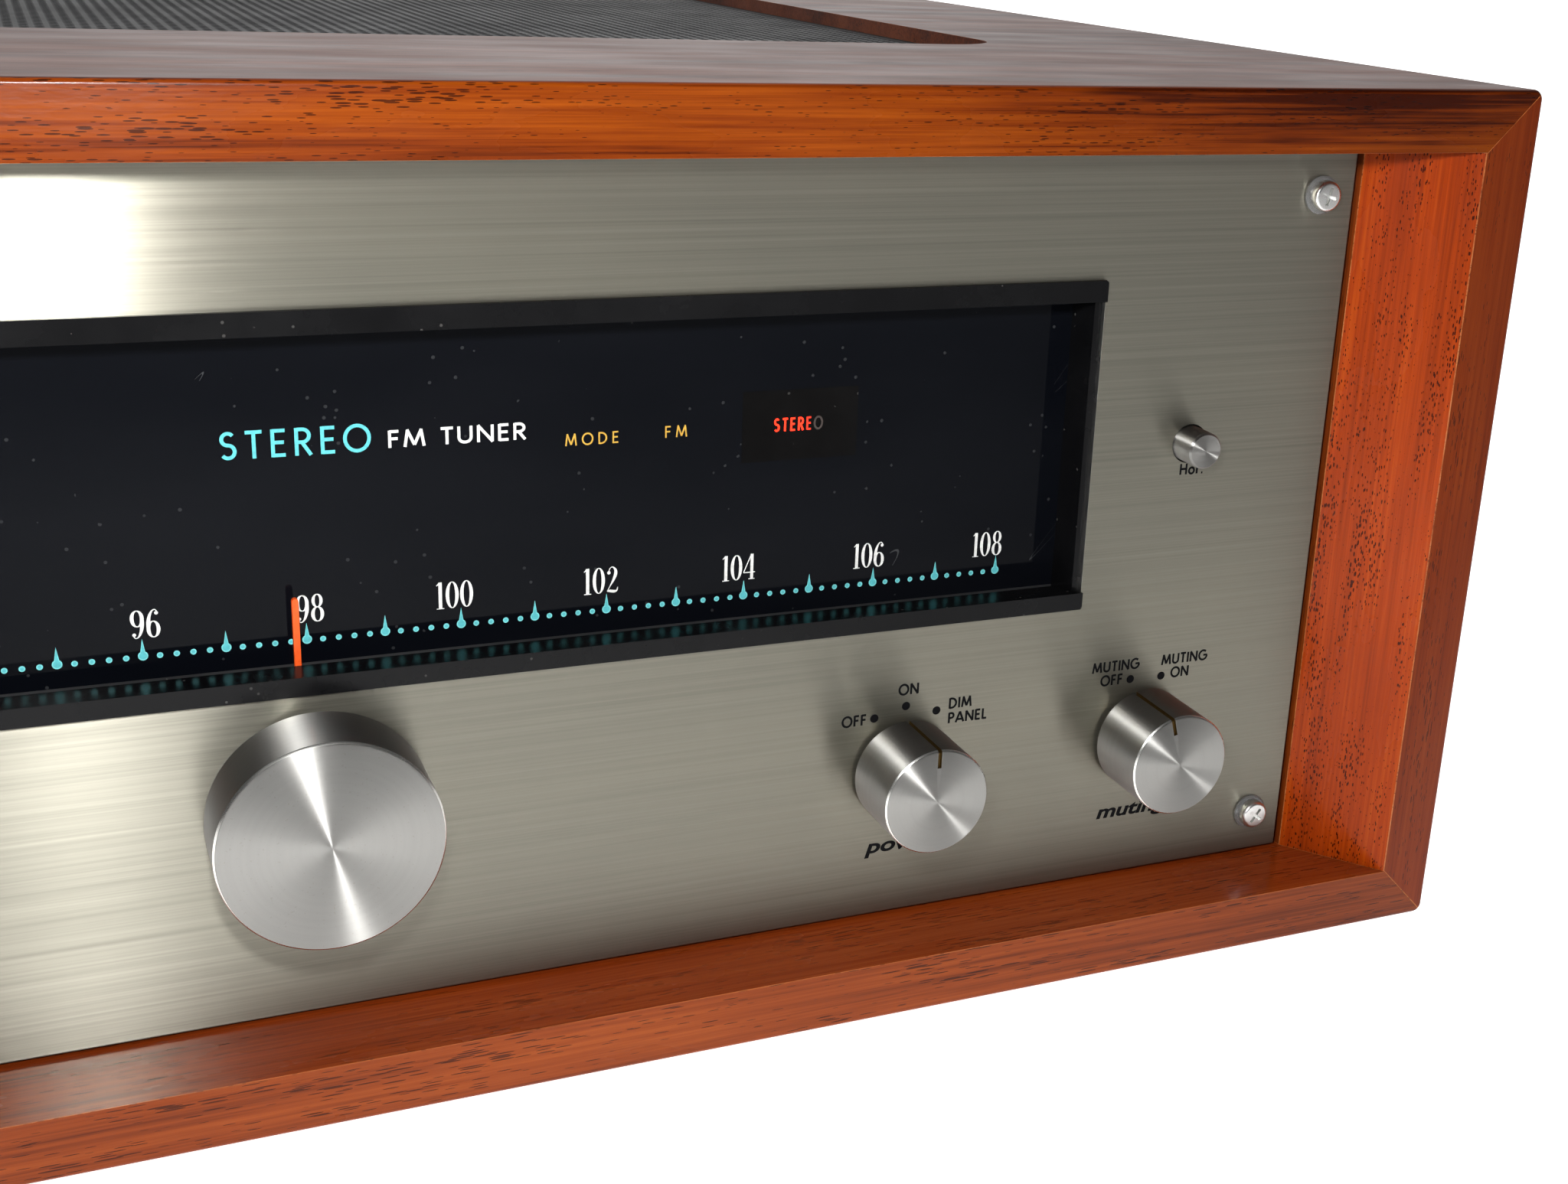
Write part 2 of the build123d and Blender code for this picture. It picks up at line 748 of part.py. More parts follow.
def tuning_capacitor():
    """Frame, fixed plates and the turning plates on their shaft."""
    first = frame_front + frame_t + plate_pitch / 2
    rotor = rod(drum_x, rotor_z, shaft_r, gear_front, frame_back + 3)
    for i in range(plate_count):
        p = first + i * plate_pitch
        rotor += half_disc(rotor_r, shaft_r / 2, p)
    save("tuning_rotor", rotor)

    rod_reach = rotor_r + stator_gap
    axis = Axis((drum_x, front_y, base_z + rotor_z), (0, 1, 0))
    stators = []
    for turn in (-45, 45):
        angle = math.radians(turn)
        x = drum_x + rod_reach * math.cos(angle)
        z = rotor_z + rod_reach * math.sin(angle)
        stators.append(rod(x, z, 1.2, frame_front + frame_t, frame_back - frame_t))
    stator = stators[0] + stators[1]
    for i in range(plate_count):
        p = first + i * plate_pitch + plate_pitch / 2
        stator += half_disc(rod_reach + 0.4, shaft_r + 2, p).rotate(axis, 90)
    save("tuning_stators", stator)

    frame_high = rotor_z + rotor_r + frame_over
    ends = []
    for p in (frame_front, frame_back - frame_t):
        end = block(
            drum_x - frame_half, drum_x + frame_half, p, p + frame_t, chassis_high, frame_high,
        )
        ends.append(end - rod(drum_x, rotor_z, shaft_r + run_fit, p, p + frame_t))
    floor = block(
        drum_x - frame_half, drum_x + frame_half, frame_front, frame_back,
        chassis_high, chassis_high + frame_t / 2,
    )
    frame = floor + ends[0] + ends[1]
    save("tuning_frame", frame)


def pulley_places():
    """Name, x, z and groove radius of each idle pulley."""
    return [
        ("end_pulley_left", -end_pulley_x, end_pulley_z, end_pulley_r),
        ("end_pulley_right", end_pulley_x, end_pulley_z, end_pulley_r),
        ("guide_pulley_left", -guide_x, guide_z, guide_pulley_r),
        ("guide_pulley_right", guide_x, guide_z, guide_pulley_r),
        ("guide_pulley_outer", guide_outer_x, guide_z, guide_pulley_r),
    ]


def pulleys():
    """Idle pulleys and the posts that they turn on."""
    posts = []
    for name, x, z, radius in pulley_places():
        wheel = grooved(x, z, radius, radius + flange_h * 0.8, pulley_front, pulley_back)
        save(name, wheel - rod(x, z, post_r + run_fit, pulley_front, pulley_back))
        post = rod(x, z, post_head_r, panel_t, pulley_front - free_gap)
        post += rod(x, z, post_r, panel_t, pulley_back + free_gap)
        post += rod(
            x, z, post_head_r, pulley_back + free_gap, pulley_back + free_gap + post_head_t,
        )
        posts.append(post)
    save("pulley_posts", together(posts))


def dial_cord():
    """Closed loop of cord round the drive pulley, drum and idle pulleys."""
    lift = cord_r + cord_gap
    # centre x, centre z, line radius, +1 clockwise or -1 anticlockwise from the front
    loop = [
        (-end_pulley_x, end_pulley_z, end_pulley_r + lift, 1),
        (end_pulley_x, end_pulley_z, end_pulley_r + lift, 1),
        (guide_outer_x, guide_z, guide_pulley_r + lift, -1),
        (drum_x, drum_z, drum_r + lift, 1),
        (guide_x, guide_z, guide_pulley_r + lift, -1),
        (0, tuning_z, drive_r + lift, 1),
        (-guide_x, guide_z, guide_pulley_r + lift, -1),
    ]
    runs = []
    for i, (x0, z0, r0, s0) in enumerate(loop):
        x1, z1, r1, s1 = loop[(i + 1) % len(loop)]
        apart = math.hypot(x1 - x0, z1 - z0)
        heading = math.atan2(z1 - z0, x1 - x0) + math.asin((s1 * r1 - s0 * r0) / apart)
        side = (-math.sin(heading), math.cos(heading))
        start = (x0 + s0 * r0 * side[0], z0 + s0 * r0 * side[1])
        end = (x1 + s1 * r1 * side[0], z1 + s1 * r1 * side[1])
        runs.append((start, end, heading))

    def place(point):
        return (point[0], front_y + cord_p, base_z + point[1])

    def length_of(start, end):
        return math.hypot(end[0] - start[0], end[1] - start[1])

    pieces = []
    total = 0.0
    for i, (start, end, heading) in enumerate(runs):
        pieces.append(Line(place(start), place(end)))
        total += length_of(start, end)
        next_start, _, next_heading = runs[(i + 1) % len(runs)]
        x, z, radius, sense = loop[(i + 1) % len(loop)]
        turn = (sense * (heading - next_heading)) % (2 * math.pi)
        middle_angle = heading - sense * turn / 2 + sense * math.pi / 2
        middle = (x + radius * math.cos(middle_angle), z + radius * math.sin(middle_angle))
        pieces.append(ThreePointArc(place(end), place(middle), place(next_start)))
        total += radius * turn
    path = Wire(pieces)
    section_plane = Plane(
        origin=place(runs[0][0]), z_dir=(math.cos(runs[0][2]), 0, math.sin(runs[0][2])),
    )
    cord = sweep(section_plane * Circle(cord_r), path=path)
    print("dial cord length", round(total, 1), "volume ratio",
          round(cord.volume / (total * math.pi * cord_r ** 2), 4))
    save("dial_cord", cord)


def pointer_parts():
    """Rail with its end blocks, sliding carriage and the pointer blade."""
    rail = bar_x(rail_p, rail_z, rail_r, -rail_half, rail_half)
    for side in (-1, 1):
        end = sorted((side * rail_half, side * (rail_half + rail_end_t)))
        rail += block(
            *end, panel_t, rail_p + 2 * rail_r, rail_z - 2 * rail_r, rail_z + 2 * rail_r,
        )
    save("pointer_rail", rail)

    x0 = pointer_x - carriage_half
    x1 = pointer_x + carriage_half
    carriage = block(x0, x1, carriage_front, carriage_back, carriage_low, carriage_high)
    carriage -= bar_x(rail_p, rail_z, rail_r + run_fit, x0, x1)
    cord_z = end_pulley_z + end_pulley_r + cord_r + cord_gap
    carriage -= bar_x(cord_p, cord_z, cord_r + free_gap, x0, x1)
    save("pointer_carriage", carriage)

    blade_front = carriage_front - pointer_t
    blade = block(
        pointer_x - pointer_w / 2, pointer_x + pointer_w / 2, blade_front, carriage_front,
        carriage_low, pointer_high,
    )
    save("pointer", blade)


def sub_panel():
    """Steel plate behind the drive, with a bearing hole for each spindle."""
    plate = block(
        -chassis_half, chassis_half, sub_panel_front, sub_panel_back, sub_panel_low, sub_panel_high,
    )
    plate -= rod(0, tuning_z, shaft_r + run_fit, sub_panel_front, sub_panel_back)
    plate -= rod(drum_x, drum_z, shaft_r + run_fit, sub_panel_front, sub_panel_back)
    plate -= rod(drum_x, rotor_z, shaft_r + 2, sub_panel_front, sub_panel_back)
    plate -= rod(scope_x, scope_z, tube_r + shield_t + free_gap, sub_panel_front, sub_panel_back)
    save("sub_panel", plate)


# --- panel controls ----------------------------------------------------------
def control_places():
    """Name, x and pointer angle at rest, clockwise from straight up."""
    return [
        ("power_knob", power_x, 0),
        ("muting_knob", muting_x, -15),
        ("mode_knob", -power_x, -30),
        ("display_knob", -muting_x, 0),
    ]


def control_knob(x, pointer_deg):
    """Spun knob with a pointer groove along its side, on its spindle."""
    front = knob_back - knob_len
    knob = rod(x, control_z, knob_r, front, knob_back)
    knob = chamfer(knob.edges().sort_by(Axis.Y)[0], 0.4)
    knob -= rod(x, control_z, nut_r + 1, knob_back - nut_t - 1, knob_back)
    groove = block(
        x - groove_w / 2, x + groove_w / 2, front, knob_back,
        control_z + knob_r - groove_d, control_z + knob_r,
    )
    groove += block(
        x - groove_w / 2, x + groove_w / 2, front, front + groove_d,
        control_z + knob_r * 0.72, control_z + knob_r,
    )
    axis = Axis((x, front_y, base_z + control_z), (0, 1, 0))
    knob -= groove.rotate(axis, pointer_deg)
    return knob + rod(x, control_z, shaft_r, front + knob_cap, switch_back - switch_end_t)


def controls():
    """Four selector knobs, their rotary switches, and the trimmers."""
    switches = []
    for name, x, pointer_deg in control_places():
        save(name, control_knob(x, pointer_deg))
        body = rod(x, control_z, switch_r, switch_front, switch_back)
        body += rod(x, control_z, bushing_r, -nut_t - bushing_proud, switch_front)
        body += rod(x, control_z, nut_r, panel_t, panel_t + back_nut_t)
        body += hex_nut(x, control_z)
        bore_end = switch_back - switch_end_t + free_gap
        body -= rod(x, control_z, shaft_r + run_fit, -nut_t - bushing_proud, bore_end)
        switches.append(body)
    save("rotary_switches", together(switches))

    pots = []
    for name, x in (("vertical_knob", -trim_x), ("horizontal_knob", trim_x)):
        knob = rod(x, trim_z, trim_r, -trim_len, panel_t - free_gap)
        knob = chamfer(knob.edges().sort_by(Axis.Y)[0], 0.3)
        knob += rod(x, trim_z, trim_pin_r, panel_t - free_gap, panel_t + pot_len - 3)
        save(name, knob)
        pot = rod(x, trim_z, pot_r, panel_t, panel_t + pot_len)
        pots.append(pot - rod(x, trim_z, trim_pin_r + run_fit, panel_t, panel_t + pot_len - 2))
    rear_inner = chassis_back - sheet_t
    for name, x in zip(("level_knob_left", "level_knob_right"), level_places()):
        start = chassis_back + 1
        knob = rod(x, rear_z, level_knob_r, start, start + level_knob_len)
        knob = chamfer(knob.edges().sort_by(Axis.Y)[-1], 0.4)
        knob += rod(x, rear_z, trim_pin_r, rear_inner - pot_len + 3, start)
        save(name, knob)
        pot = rod(x, rear_z, pot_r, rear_inner - pot_len, rear_inner)
        bore = rod(x, rear_z, trim_pin_r + run_fit, rear_inner - pot_len + 2, rear_inner)
        pots.append(pot - bore)
    save("trim_pots", together(pots))


def level_places():
    """X of the two output level controls."""
    return (level_x - level_pitch / 2, level_x + level_pitch / 2)


# --- chassis -----------------------------------------------------------------
def chassis():
    """Folded steel pan, open below, with holes for all that it carries."""
    front = sub_panel_back
    pan = block(-chassis_half, chassis_half, front, chassis_back, chassis_low, chassis_high)
    inner = chassis_half - sheet_t
    pan -= block(
        -inner, inner, front + sheet_t, chassis_back - sheet_t, chassis_low, chassis_high - sheet_t,
    )
    for side in (-1, 1):
        edge = sorted((side * inner, side * (chassis_half - flange_w)))
        pan += block(*edge, front, chassis_back, chassis_low, chassis_low + sheet_t)
    for x, p in bolt_spots():
        pan -= pillar(x, p, bolt_r, chassis_low, chassis_low + sheet_t)
    for x, p in valve_spots:
        pan -= pillar(x, p, socket_r - socket_lip + run_fit, chassis_high - sheet_t, chassis_high)
    apron = (chassis_back - sheet_t, chassis_back)
    for x in jack_x:
        for z in jack_z:
            pan -= rod(x, z, jack_r, *apron)
    for x in level_places():
        pan -= rod(x, rear_z, trim_pin_r + free_gap, *apron)
    pan -= rod(fuse_x, rear_z, fuse_r, *apron)
    pan -= rod(gland_x, rear_z, gland_r, *apron)
    save("chassis", pan)

    cover = block(
        -chassis_half, chassis_half, front, chassis_back, chassis_low - sheet_t, chassis_low,
    )
    for x, p in bolt_spots():
        cover -= pillar(x, p, bolt_r, chassis_low - sheet_t, chassis_low)
    save("bottom_cover", cover)


def valves():
    """Glass valves and the sockets that they stand in."""
    glass = []
    sockets = []
    seat = chassis_high + socket_lip
    for x, p in valve_spots:
        envelope = pillar(x, p, valve_r, seat, seat + valve_len)
        envelope = fillet(envelope.edges().sort_by(Axis.Z)[-1], valve_r * 0.6)
        tip = pillar(x, p, 1.6, seat + valve_len - 0.5, seat + valve_len + 4)
        glass.append(envelope + tip)
        socket = pillar(x, p, socket_r, chassis_high, seat)
        socket += pillar(x, p, socket_r - socket_lip, chassis_high - socket_deep, chassis_high)
        sockets.append(socket)
    save("valves", together(glass))
    save("valve_sockets", together(sockets))


def cans():
    """Square intermediate-frequency cans and round filter capacitors."""
    half = can_w / 2
    squares = []
    for x, p in can_spots:
        can = block(x - half, x + half, p - half, p + half, chassis_high, chassis_high + can_h)
        can = fillet(can.edges().filter_by(Axis.Z), 2)
        squares.append(chamfer(can.faces().sort_by(Axis.Z)[-1].edges(), 0.8))
    save("if_cans", together(squares))
    rounds = []
    for x in filter_x:
        can = pillar(x, filter_p, filter_r, chassis_high, chassis_high + filter_h)
        can = fillet(can.edges().sort_by(Axis.Z)[-1], 2)
        rounds.append(can + pillar(x, filter_p, filter_r + 2, chassis_high, chassis_high + 3))
    save("filter_cans", together(rounds))


def power_transformer():
    """Laminated core between two rounded end bells, on a foot flange."""
    half = transformer_w / 2
    base = chassis_high
    deep = transformer_d / 2
    core = block(
        transformer_x - half, transformer_x + half, transformer_p - deep, transformer_p + deep,
        base, base + transformer_h,
    )
    for side in (-1, 1):
        near = sorted((transformer_p + side * deep, transformer_p + side * (deep + bell_d)))
        bell = block(
            transformer_x - half + 4, transformer_x + half - 4, *near,
            base + 3, base + transformer_h - 4,
        )
        outer_face = bell.faces().sort_by(Axis.Y)[-1 if side > 0 else 0]
        core += fillet(outer_face.edges(), 6)
    core += block(
        transformer_x - half - 6, transformer_x + half + 6, transformer_p - deep - 6,
        transformer_p + deep + 6, base, base + 2,
    )
    save("power_transformer", core)


def rear_fittings():
    """Phono sockets, aerial terminals, fuse holder and cord gland."""
    inside = chassis_back - sheet_t - 6
    jacks = []
    for x in jack_x:
        for z in jack_z:
            jack = rod(x, z, jack_r, inside, chassis_back + jack_len)
            jack += rod(x, z, jack_flange_r, chassis_back, chassis_back + 1.5)
            jack -= rod(x, z, 1.7, chassis_back + 1, chassis_back + jack_len)
            jacks.append(jack)
    save("phono_sockets", together(jacks))

    half = terminal_w / 2
    face = chassis_back + terminal_d
    strip = block(
        terminal_x - half, terminal_x + half, chassis_back, face,
        rear_z - terminal_h / 2, rear_z + terminal_h / 2,
    )
    for i in range(4):
        x = terminal_x + (i - 1.5) * terminal_w / 4
        screw = rod(x, rear_z, 3.2, face, face + 3)
        wing = block(x - 3.2, x + 3.2, face + 2, face + 3, rear_z - 0.4, rear_z + 0.4)
        strip += screw - wing
    save("aerial_terminals", strip)

    fuse = rod(fuse_x, rear_z, fuse_r, chassis_back - 30, chassis_back + fuse_len)
    fuse += rod(fuse_x, rear_z, fuse_r + 2, chassis_back, chassis_back + 2)
    end = chassis_back + fuse_len
    fuse -= block(fuse_x - fuse_r, fuse_x + fuse_r, end - 1.2, end, rear_z - 0.6, rear_z + 0.6)
    save("fuse_holder", fuse)

    inner_lip = chassis_back - sheet_t
    gland = rod(gland_x, rear_z, gland_r, inner_lip - 2, chassis_back + 2)
    gland += rod(gland_x, rear_z, gland_r + 2, inner_lip - 2, inner_lip)
    gland += rod(gland_x, rear_z, gland_r + 2, chassis_back, chassis_back + 2)
    gland -= rod(gland_x, rear_z, gland_bore_r, inner_lip - 2, chassis_back + 2)
    save("cord_gland", gland)


os.makedirs("parts", exist_ok=True)
cabinet()
front_panel()
panel_fasteners()
side_brackets()
dial_bezel()
dial_glass()
dial_back()
stereo_lens()
dial_lamps()
display_tube()
tuning_knob()
tuning_shaft()
cord_drum()
rotor_gear()
tuning_capacitor()
pulleys()
dial_cord()
pointer_parts()
sub_panel()
controls()
chassis()
valves()
cans()
power_transformer()
rear_fittings()
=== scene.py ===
import math
import random

import bmesh
import bpy
from mathutils import Matrix, Vector


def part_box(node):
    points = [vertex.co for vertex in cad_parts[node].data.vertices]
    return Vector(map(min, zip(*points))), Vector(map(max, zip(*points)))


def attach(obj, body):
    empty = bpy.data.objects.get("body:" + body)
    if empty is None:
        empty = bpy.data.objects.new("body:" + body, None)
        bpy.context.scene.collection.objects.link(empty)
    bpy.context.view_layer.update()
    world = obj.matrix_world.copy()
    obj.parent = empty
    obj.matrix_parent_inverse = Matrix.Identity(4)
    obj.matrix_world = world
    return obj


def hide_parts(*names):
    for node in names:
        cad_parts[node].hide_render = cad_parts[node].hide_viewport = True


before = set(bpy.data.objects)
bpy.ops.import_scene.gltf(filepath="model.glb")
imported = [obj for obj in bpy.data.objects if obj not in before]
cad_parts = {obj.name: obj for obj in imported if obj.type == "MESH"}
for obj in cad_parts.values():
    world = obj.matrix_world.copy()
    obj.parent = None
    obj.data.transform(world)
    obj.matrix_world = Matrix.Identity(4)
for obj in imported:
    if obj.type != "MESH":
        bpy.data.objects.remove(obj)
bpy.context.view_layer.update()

# Stereo FM tuner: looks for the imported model. Lengths in this script are in millimetres in the
# panel's own terms, and at() turns them into metres in the frame: x is the row's X, p is depth
# behind the panel's front face, z is height above the panel's bottom edge.

MM = 0.001
ROOT = "tuner"
panel_low, panel_high = (Vector(corner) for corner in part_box("front_panel"))
FRONT = panel_low.y
BASE = panel_low.z


def at(x, p, z):
    """Panel terms to metres in the frame."""
    return Vector((x * MM, FRONT + p * MM, BASE + z * MM))


def extent(node):
    """A node's box in panel terms: (x0, x1, p0, p1, z0, z1)."""
    low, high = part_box(node)
    return (
        low[0] / MM, high[0] / MM, (low[1] - FRONT) / MM, (high[1] - FRONT) / MM,
        (low[2] - BASE) / MM, (high[2] - BASE) / MM,
    )


def in_scene(name, data):
    """New object in the scene."""
    item = bpy.data.objects.new(name, data)
    bpy.context.scene.collection.objects.link(item)
    return item


def arc(cx, cz, rx, rz, start, end, steps=14):
    """Points round an oval, in degrees."""
    angles = [math.radians(start + (end - start) * i / steps) for i in range(steps + 1)]
    return [(cx + rx * math.cos(a), cz + rz * math.sin(a)) for a in angles]


def oval(cx, cz, rx, rz, count, start=0):
    """Points all the way round an oval, the last one not repeated."""
    return arc(cx, cz, rx, rz, start, start + 360, count)[:-1]


# --- shader building ---------------------------------------------------------
class Graph:
    """Short ways to add nodes to one material."""

    def __init__(self, name):
        self.material = bpy.data.materials.new(name)
        self.material.use_nodes = True
        self.tree = self.material.node_tree
        self.shader = self.tree.nodes["Principled BSDF"]

    def put(self, socket, value):
        if isinstance(value, bpy.types.NodeSocket):
            self.tree.links.new(value, socket)
        else:
            socket.default_value = value

    def node(self, kind, props=None, **inputs):
        item = self.tree.nodes.new("ShaderNode" + kind)
        for key, value in (props or {}).items():
            setattr(item, key, value)
        for key, value in inputs.items():
            self.put(item.inputs[key], value)
        return item

    def place(self, scale=(1, 1, 1), turn=(0, 0, 0)):
        """Object coordinates, turned and then scaled, per metre."""
        coords = self.node("TexCoord").outputs["Object"]
        turned = self.node("Mapping", Vector=coords, Rotation=turn).outputs[0]
        scale = scale if isinstance(scale, tuple) else (scale,) * 3
        return self.node("Mapping", Vector=turned, Scale=scale).outputs[0]

    def noise(self, vector, scale=1.0, detail=2.0, rough=0.5, warp=0.0):
        return self.node(
            "TexNoise", Vector=vector, Scale=scale, Detail=detail, Roughness=rough, Distortion=warp,
        ).outputs["Fac"]

    def grain(self, scale, turn=(0, 0, 0), **noise):
        """Noise with so many grains per metre, the same on each axis or one for each."""
        return self.noise(self.place(scale, turn), **noise)

    def cells(self, vector):
        """Distance to the nearest of scattered points."""
        return self.node("TexVoronoi", Vector=vector, Scale=1.0).outputs["Distance"]

    def math(self, operation, a, b=0.0):
        item = self.tree.nodes.new("ShaderNodeMath")
        item.operation = operation
        self.put(item.inputs[0], a)
        self.put(item.inputs[1], b)
        return item.outputs[0]

    def times(self, a, b):
        return self.math("MULTIPLY", a, b)

    def span(self, value, a, b, c=0.0, d=1.0):
        """Value from a..b to c..d, clamped."""
        item = self.tree.nodes.new("ShaderNodeMapRange")
        for index, number in enumerate((value, a, b, c, d)):
            self.put(item.inputs[index], number)
        return item.outputs[0]

    def mix(self, factor, a, b, blend="MIX"):
        item = self.tree.nodes.new("ShaderNodeMix")
        item.data_type = "RGBA"
        item.blend_type = blend
        self.put(item.inputs[0], factor)
        self.put(item.inputs[6], a if isinstance(a, bpy.types.NodeSocket) else (*a, 1))
        self.put(item.inputs[7], b if isinstance(b, bpy.types.NodeSocket) else (*b, 1))
        return item.outputs[2]

    def ramp(self, factor, stops):
        item = self.tree.nodes.new("ShaderNodeValToRGB")
        self.put(item.inputs[0], factor)
        elements = item.color_ramp.elements
        while len(elements) < len(stops):
            elements.new(0.5)
        for element, (where, color) in zip(elements, stops):
            element.position = where
            element.color = (*color, 1)
        return item.outputs[0]

    def bump(self, height, strength, depth_mm):
        item = self.node("Bump", Height=height, Strength=strength, Distance=depth_mm * MM)
        return item.outputs[0]

    def set(self, **sockets):
        for key, value in sockets.items():
            socket = self.shader.inputs[key.replace("_", " ")]
            if isinstance(value, tuple) and len(value) == 3:
                value = (*value, 1)
            self.put(socket, value)
        return self.material


ALONG_X = (0, 0, 0)
ALONG_Z = (0, math.radians(90), 0)


def wood(name, turn, tones, pores, pore_mm, gloss, coat, shift, figure_scale=1.0, relief=0.06,
         spread=0.5):
    """Lacquered walnut: figure, fine grain, dark pores with lit rims, uneven lacquer.

    tones are the dark, middle and light colours, spread how far apart they lie, pores how dark the
    pores are, pore_mm a pore's length and width, shift the place in the log, relief a depth in mm.
    """
    dark, mid, light = tones
    g = Graph(name)
    base = g.node("Mapping", Vector=g.place(turn=turn), Location=(shift, shift, shift)).outputs[0]

    def scaled(a, b):
        return g.node("Mapping", Vector=base, Scale=(a, b, b)).outputs[0]

    figure = g.noise(scaled(2.6 * figure_scale, 30 * figure_scale), detail=5, rough=0.6, warp=0.9)
    bands = g.noise(scaled(5, 150), detail=4, rough=0.6, warp=0.3)
    lines = g.noise(scaled(24, 1500), detail=3, rough=0.65)
    tone = g.math("ADD", g.times(figure, 0.40), g.times(bands, 0.27))
    tone = g.math("ADD", tone, g.times(lines, 0.33))
    color = g.ramp(tone, [(0.50 - 0.26 * spread, dark), (0.50, mid), (0.63, light)])
    length, width = pore_mm
    pore_cells = g.cells(scaled(1000 / length, 1000 / width / 1.6))
    thick = g.span(g.noise(scaled(30, 260), detail=3), 0.36, 0.70, 0.03, 0.40)
    pore = g.math("LESS_THAN", pore_cells, thick)
    color = g.mix(g.times(pore, pores), color, tuple(v * 0.16 for v in dark))
    blotch = g.span(g.noise(scaled(9, 22), detail=3), 0.35, 0.7)
    color = g.mix(g.times(blotch, 0.25), color, mid, "MULTIPLY")
    peel = g.noise(scaled(320, 900), detail=2)
    rough = g.span(g.noise(scaled(30, 90), detail=4), 0.3, 0.7, gloss - 0.06, gloss + 0.10)
    height = g.math("SUBTRACT", g.times(peel, 0.6), g.times(pore, 0.9))
    return g.set(
        Base_Color=color, Roughness=rough, Normal=g.bump(height, 0.7, relief),
        Coat_Weight=coat, Coat_Roughness=0.16, Coat_Normal=g.bump(height, 0.5, relief * 0.6),
        Specular_IOR_Level=0.10,
    )


def brushed(name, color, rough, stretch):
    """Satin metal brushed along the X axis, with a few stray marks."""
    g = Graph(name)
    fine = g.grain((6, 2600, 2600), detail=3, rough=0.7)
    coarse = g.grain((5, 800, 800), detail=4, rough=0.6)
    cloud = g.grain((9, 30, 30), detail=3)
    marks = g.math("GREATER_THAN", g.grain((22, 1900, 1900), detail=1), 0.74)
    tone = g.math("ADD", g.times(coarse, 0.5), g.times(fine, 0.5))
    tinted = g.mix(g.span(tone, 0.35, 0.65), tuple(v * 0.74 for v in color), color)
    tinted = g.mix(g.times(g.span(cloud, 0.4, 0.75), 0.16), tinted, (0.46, 0.42, 0.32))
    height = g.math("ADD", g.times(fine, 0.6), g.times(coarse, 0.4))
    height = g.math("SUBTRACT", height, g.times(marks, 0.5))
    along = g.node("CombineXYZ", X=0.0, Y=0.0, Z=1.0).outputs[0]
    return g.set(
        Base_Color=tinted, Metallic=0.88, Roughness=g.span(tone, 0.3, 0.7, rough - 0.04, rough + 0.05),
        Anisotropic=stretch, Tangent=along, Normal=g.bump(height, 0.16, 0.02),
    )


def spun(name, color):
    """Metal turned on a lathe: rings round the piece's own origin, about Y."""
    g = Graph(name)
    tangent = g.node("Tangent", {"direction_type": "RADIAL", "axis": "Y"}).outputs[0]
    flat = g.node("VectorMath", {"operation": "MULTIPLY"})
    g.put(flat.inputs[0], g.node("TexCoord").outputs["Object"])
    flat.inputs[1].default_value = (1, 0, 1)
    size = g.node("VectorMath", {"operation": "LENGTH"})
    g.put(size.inputs[0], flat.outputs[0])
    along = g.node("SeparateXYZ", Vector=g.node("TexCoord").outputs["Object"]).outputs["Y"]
    where = g.node("CombineXYZ", X=size.outputs["Value"], Y=along).outputs[0]
    rings = g.noise(where, 5200, detail=2)
    wide = g.noise(where, 900, detail=2)
    speck = g.math("GREATER_THAN", g.grain(2600, detail=0), 0.80)
    tone = g.mix(g.span(wide, 0.35, 0.65), tuple(v * 0.965 for v in color), color)
    tone = g.mix(g.times(speck, 0.3), tone, (0.25, 0.23, 0.20))
    return g.set(
        Base_Color=tone, Metallic=1.0, Roughness=g.span(rings, 0.3, 0.7, 0.385, 0.42),
        Anisotropic=1.0, Anisotropic_Rotation=0.25, Tangent=tangent,
        Normal=g.bump(rings, 0.035, 0.01),
    )


def metal(name, color, rough=0.3, grain=600, wear=0.15):
    """Plain plated or cast metal with cloudy tarnish."""
    g = Graph(name)
    fine = g.grain(grain, detail=3)
    cloud = g.grain(35, detail=5, rough=0.6)
    tone = g.mix(g.times(g.span(cloud, 0.45, 0.75), wear * 2), color,
                 tuple(v * 0.55 for v in color))
    return g.set(
        Base_Color=tone, Metallic=1.0, Roughness=g.span(cloud, 0.3, 0.75, rough - 0.07, rough + 0.16),
        Normal=g.bump(fine, 0.12, 0.03),
    )


def plastic(name, color, rough=0.4, grain=1200, depth=0.02, level=0.5, dust=0.0):
    """Moulded or painted surface with a fine texture and a little dust."""
    g = Graph(name)
    fine = g.grain(grain, detail=3)
    cloud = g.grain(45, detail=5, rough=0.65)
    tone = g.mix(g.span(cloud, 0.3, 0.75), color, tuple(min(1, v * 1.25 + 0.003) for v in color))
    speck = g.math("LESS_THAN", g.cells(g.place(520)), 0.13)
    chosen = g.math("GREATER_THAN", g.grain(160, detail=1), 0.60)
    specks = g.times(g.times(speck, chosen), dust)
    tone = g.mix(specks, tone, (0.55, 0.53, 0.5))
    return g.set(
        Base_Color=tone, Roughness=g.span(cloud, 0.3, 0.75, rough - 0.05, rough + 0.12),
        Normal=g.bump(fine, 0.2, depth), Specular_IOR_Level=level,
    )


def printed(name, color, glow=0.0, level=0.3):
    """Screen ink with slight mottling, lit from behind where glow is set."""
    g = Graph(name)
    mottle = g.span(g.grain(1500, detail=3), 0.3, 0.7)
    tone = g.mix(mottle, tuple(v * 0.8 for v in color), color)
    g.set(Base_Color=tone, Roughness=0.42, Specular_IOR_Level=level)
    if glow:
        g.set(Emission_Color=tone, Emission_Strength=glow)
    return g.material


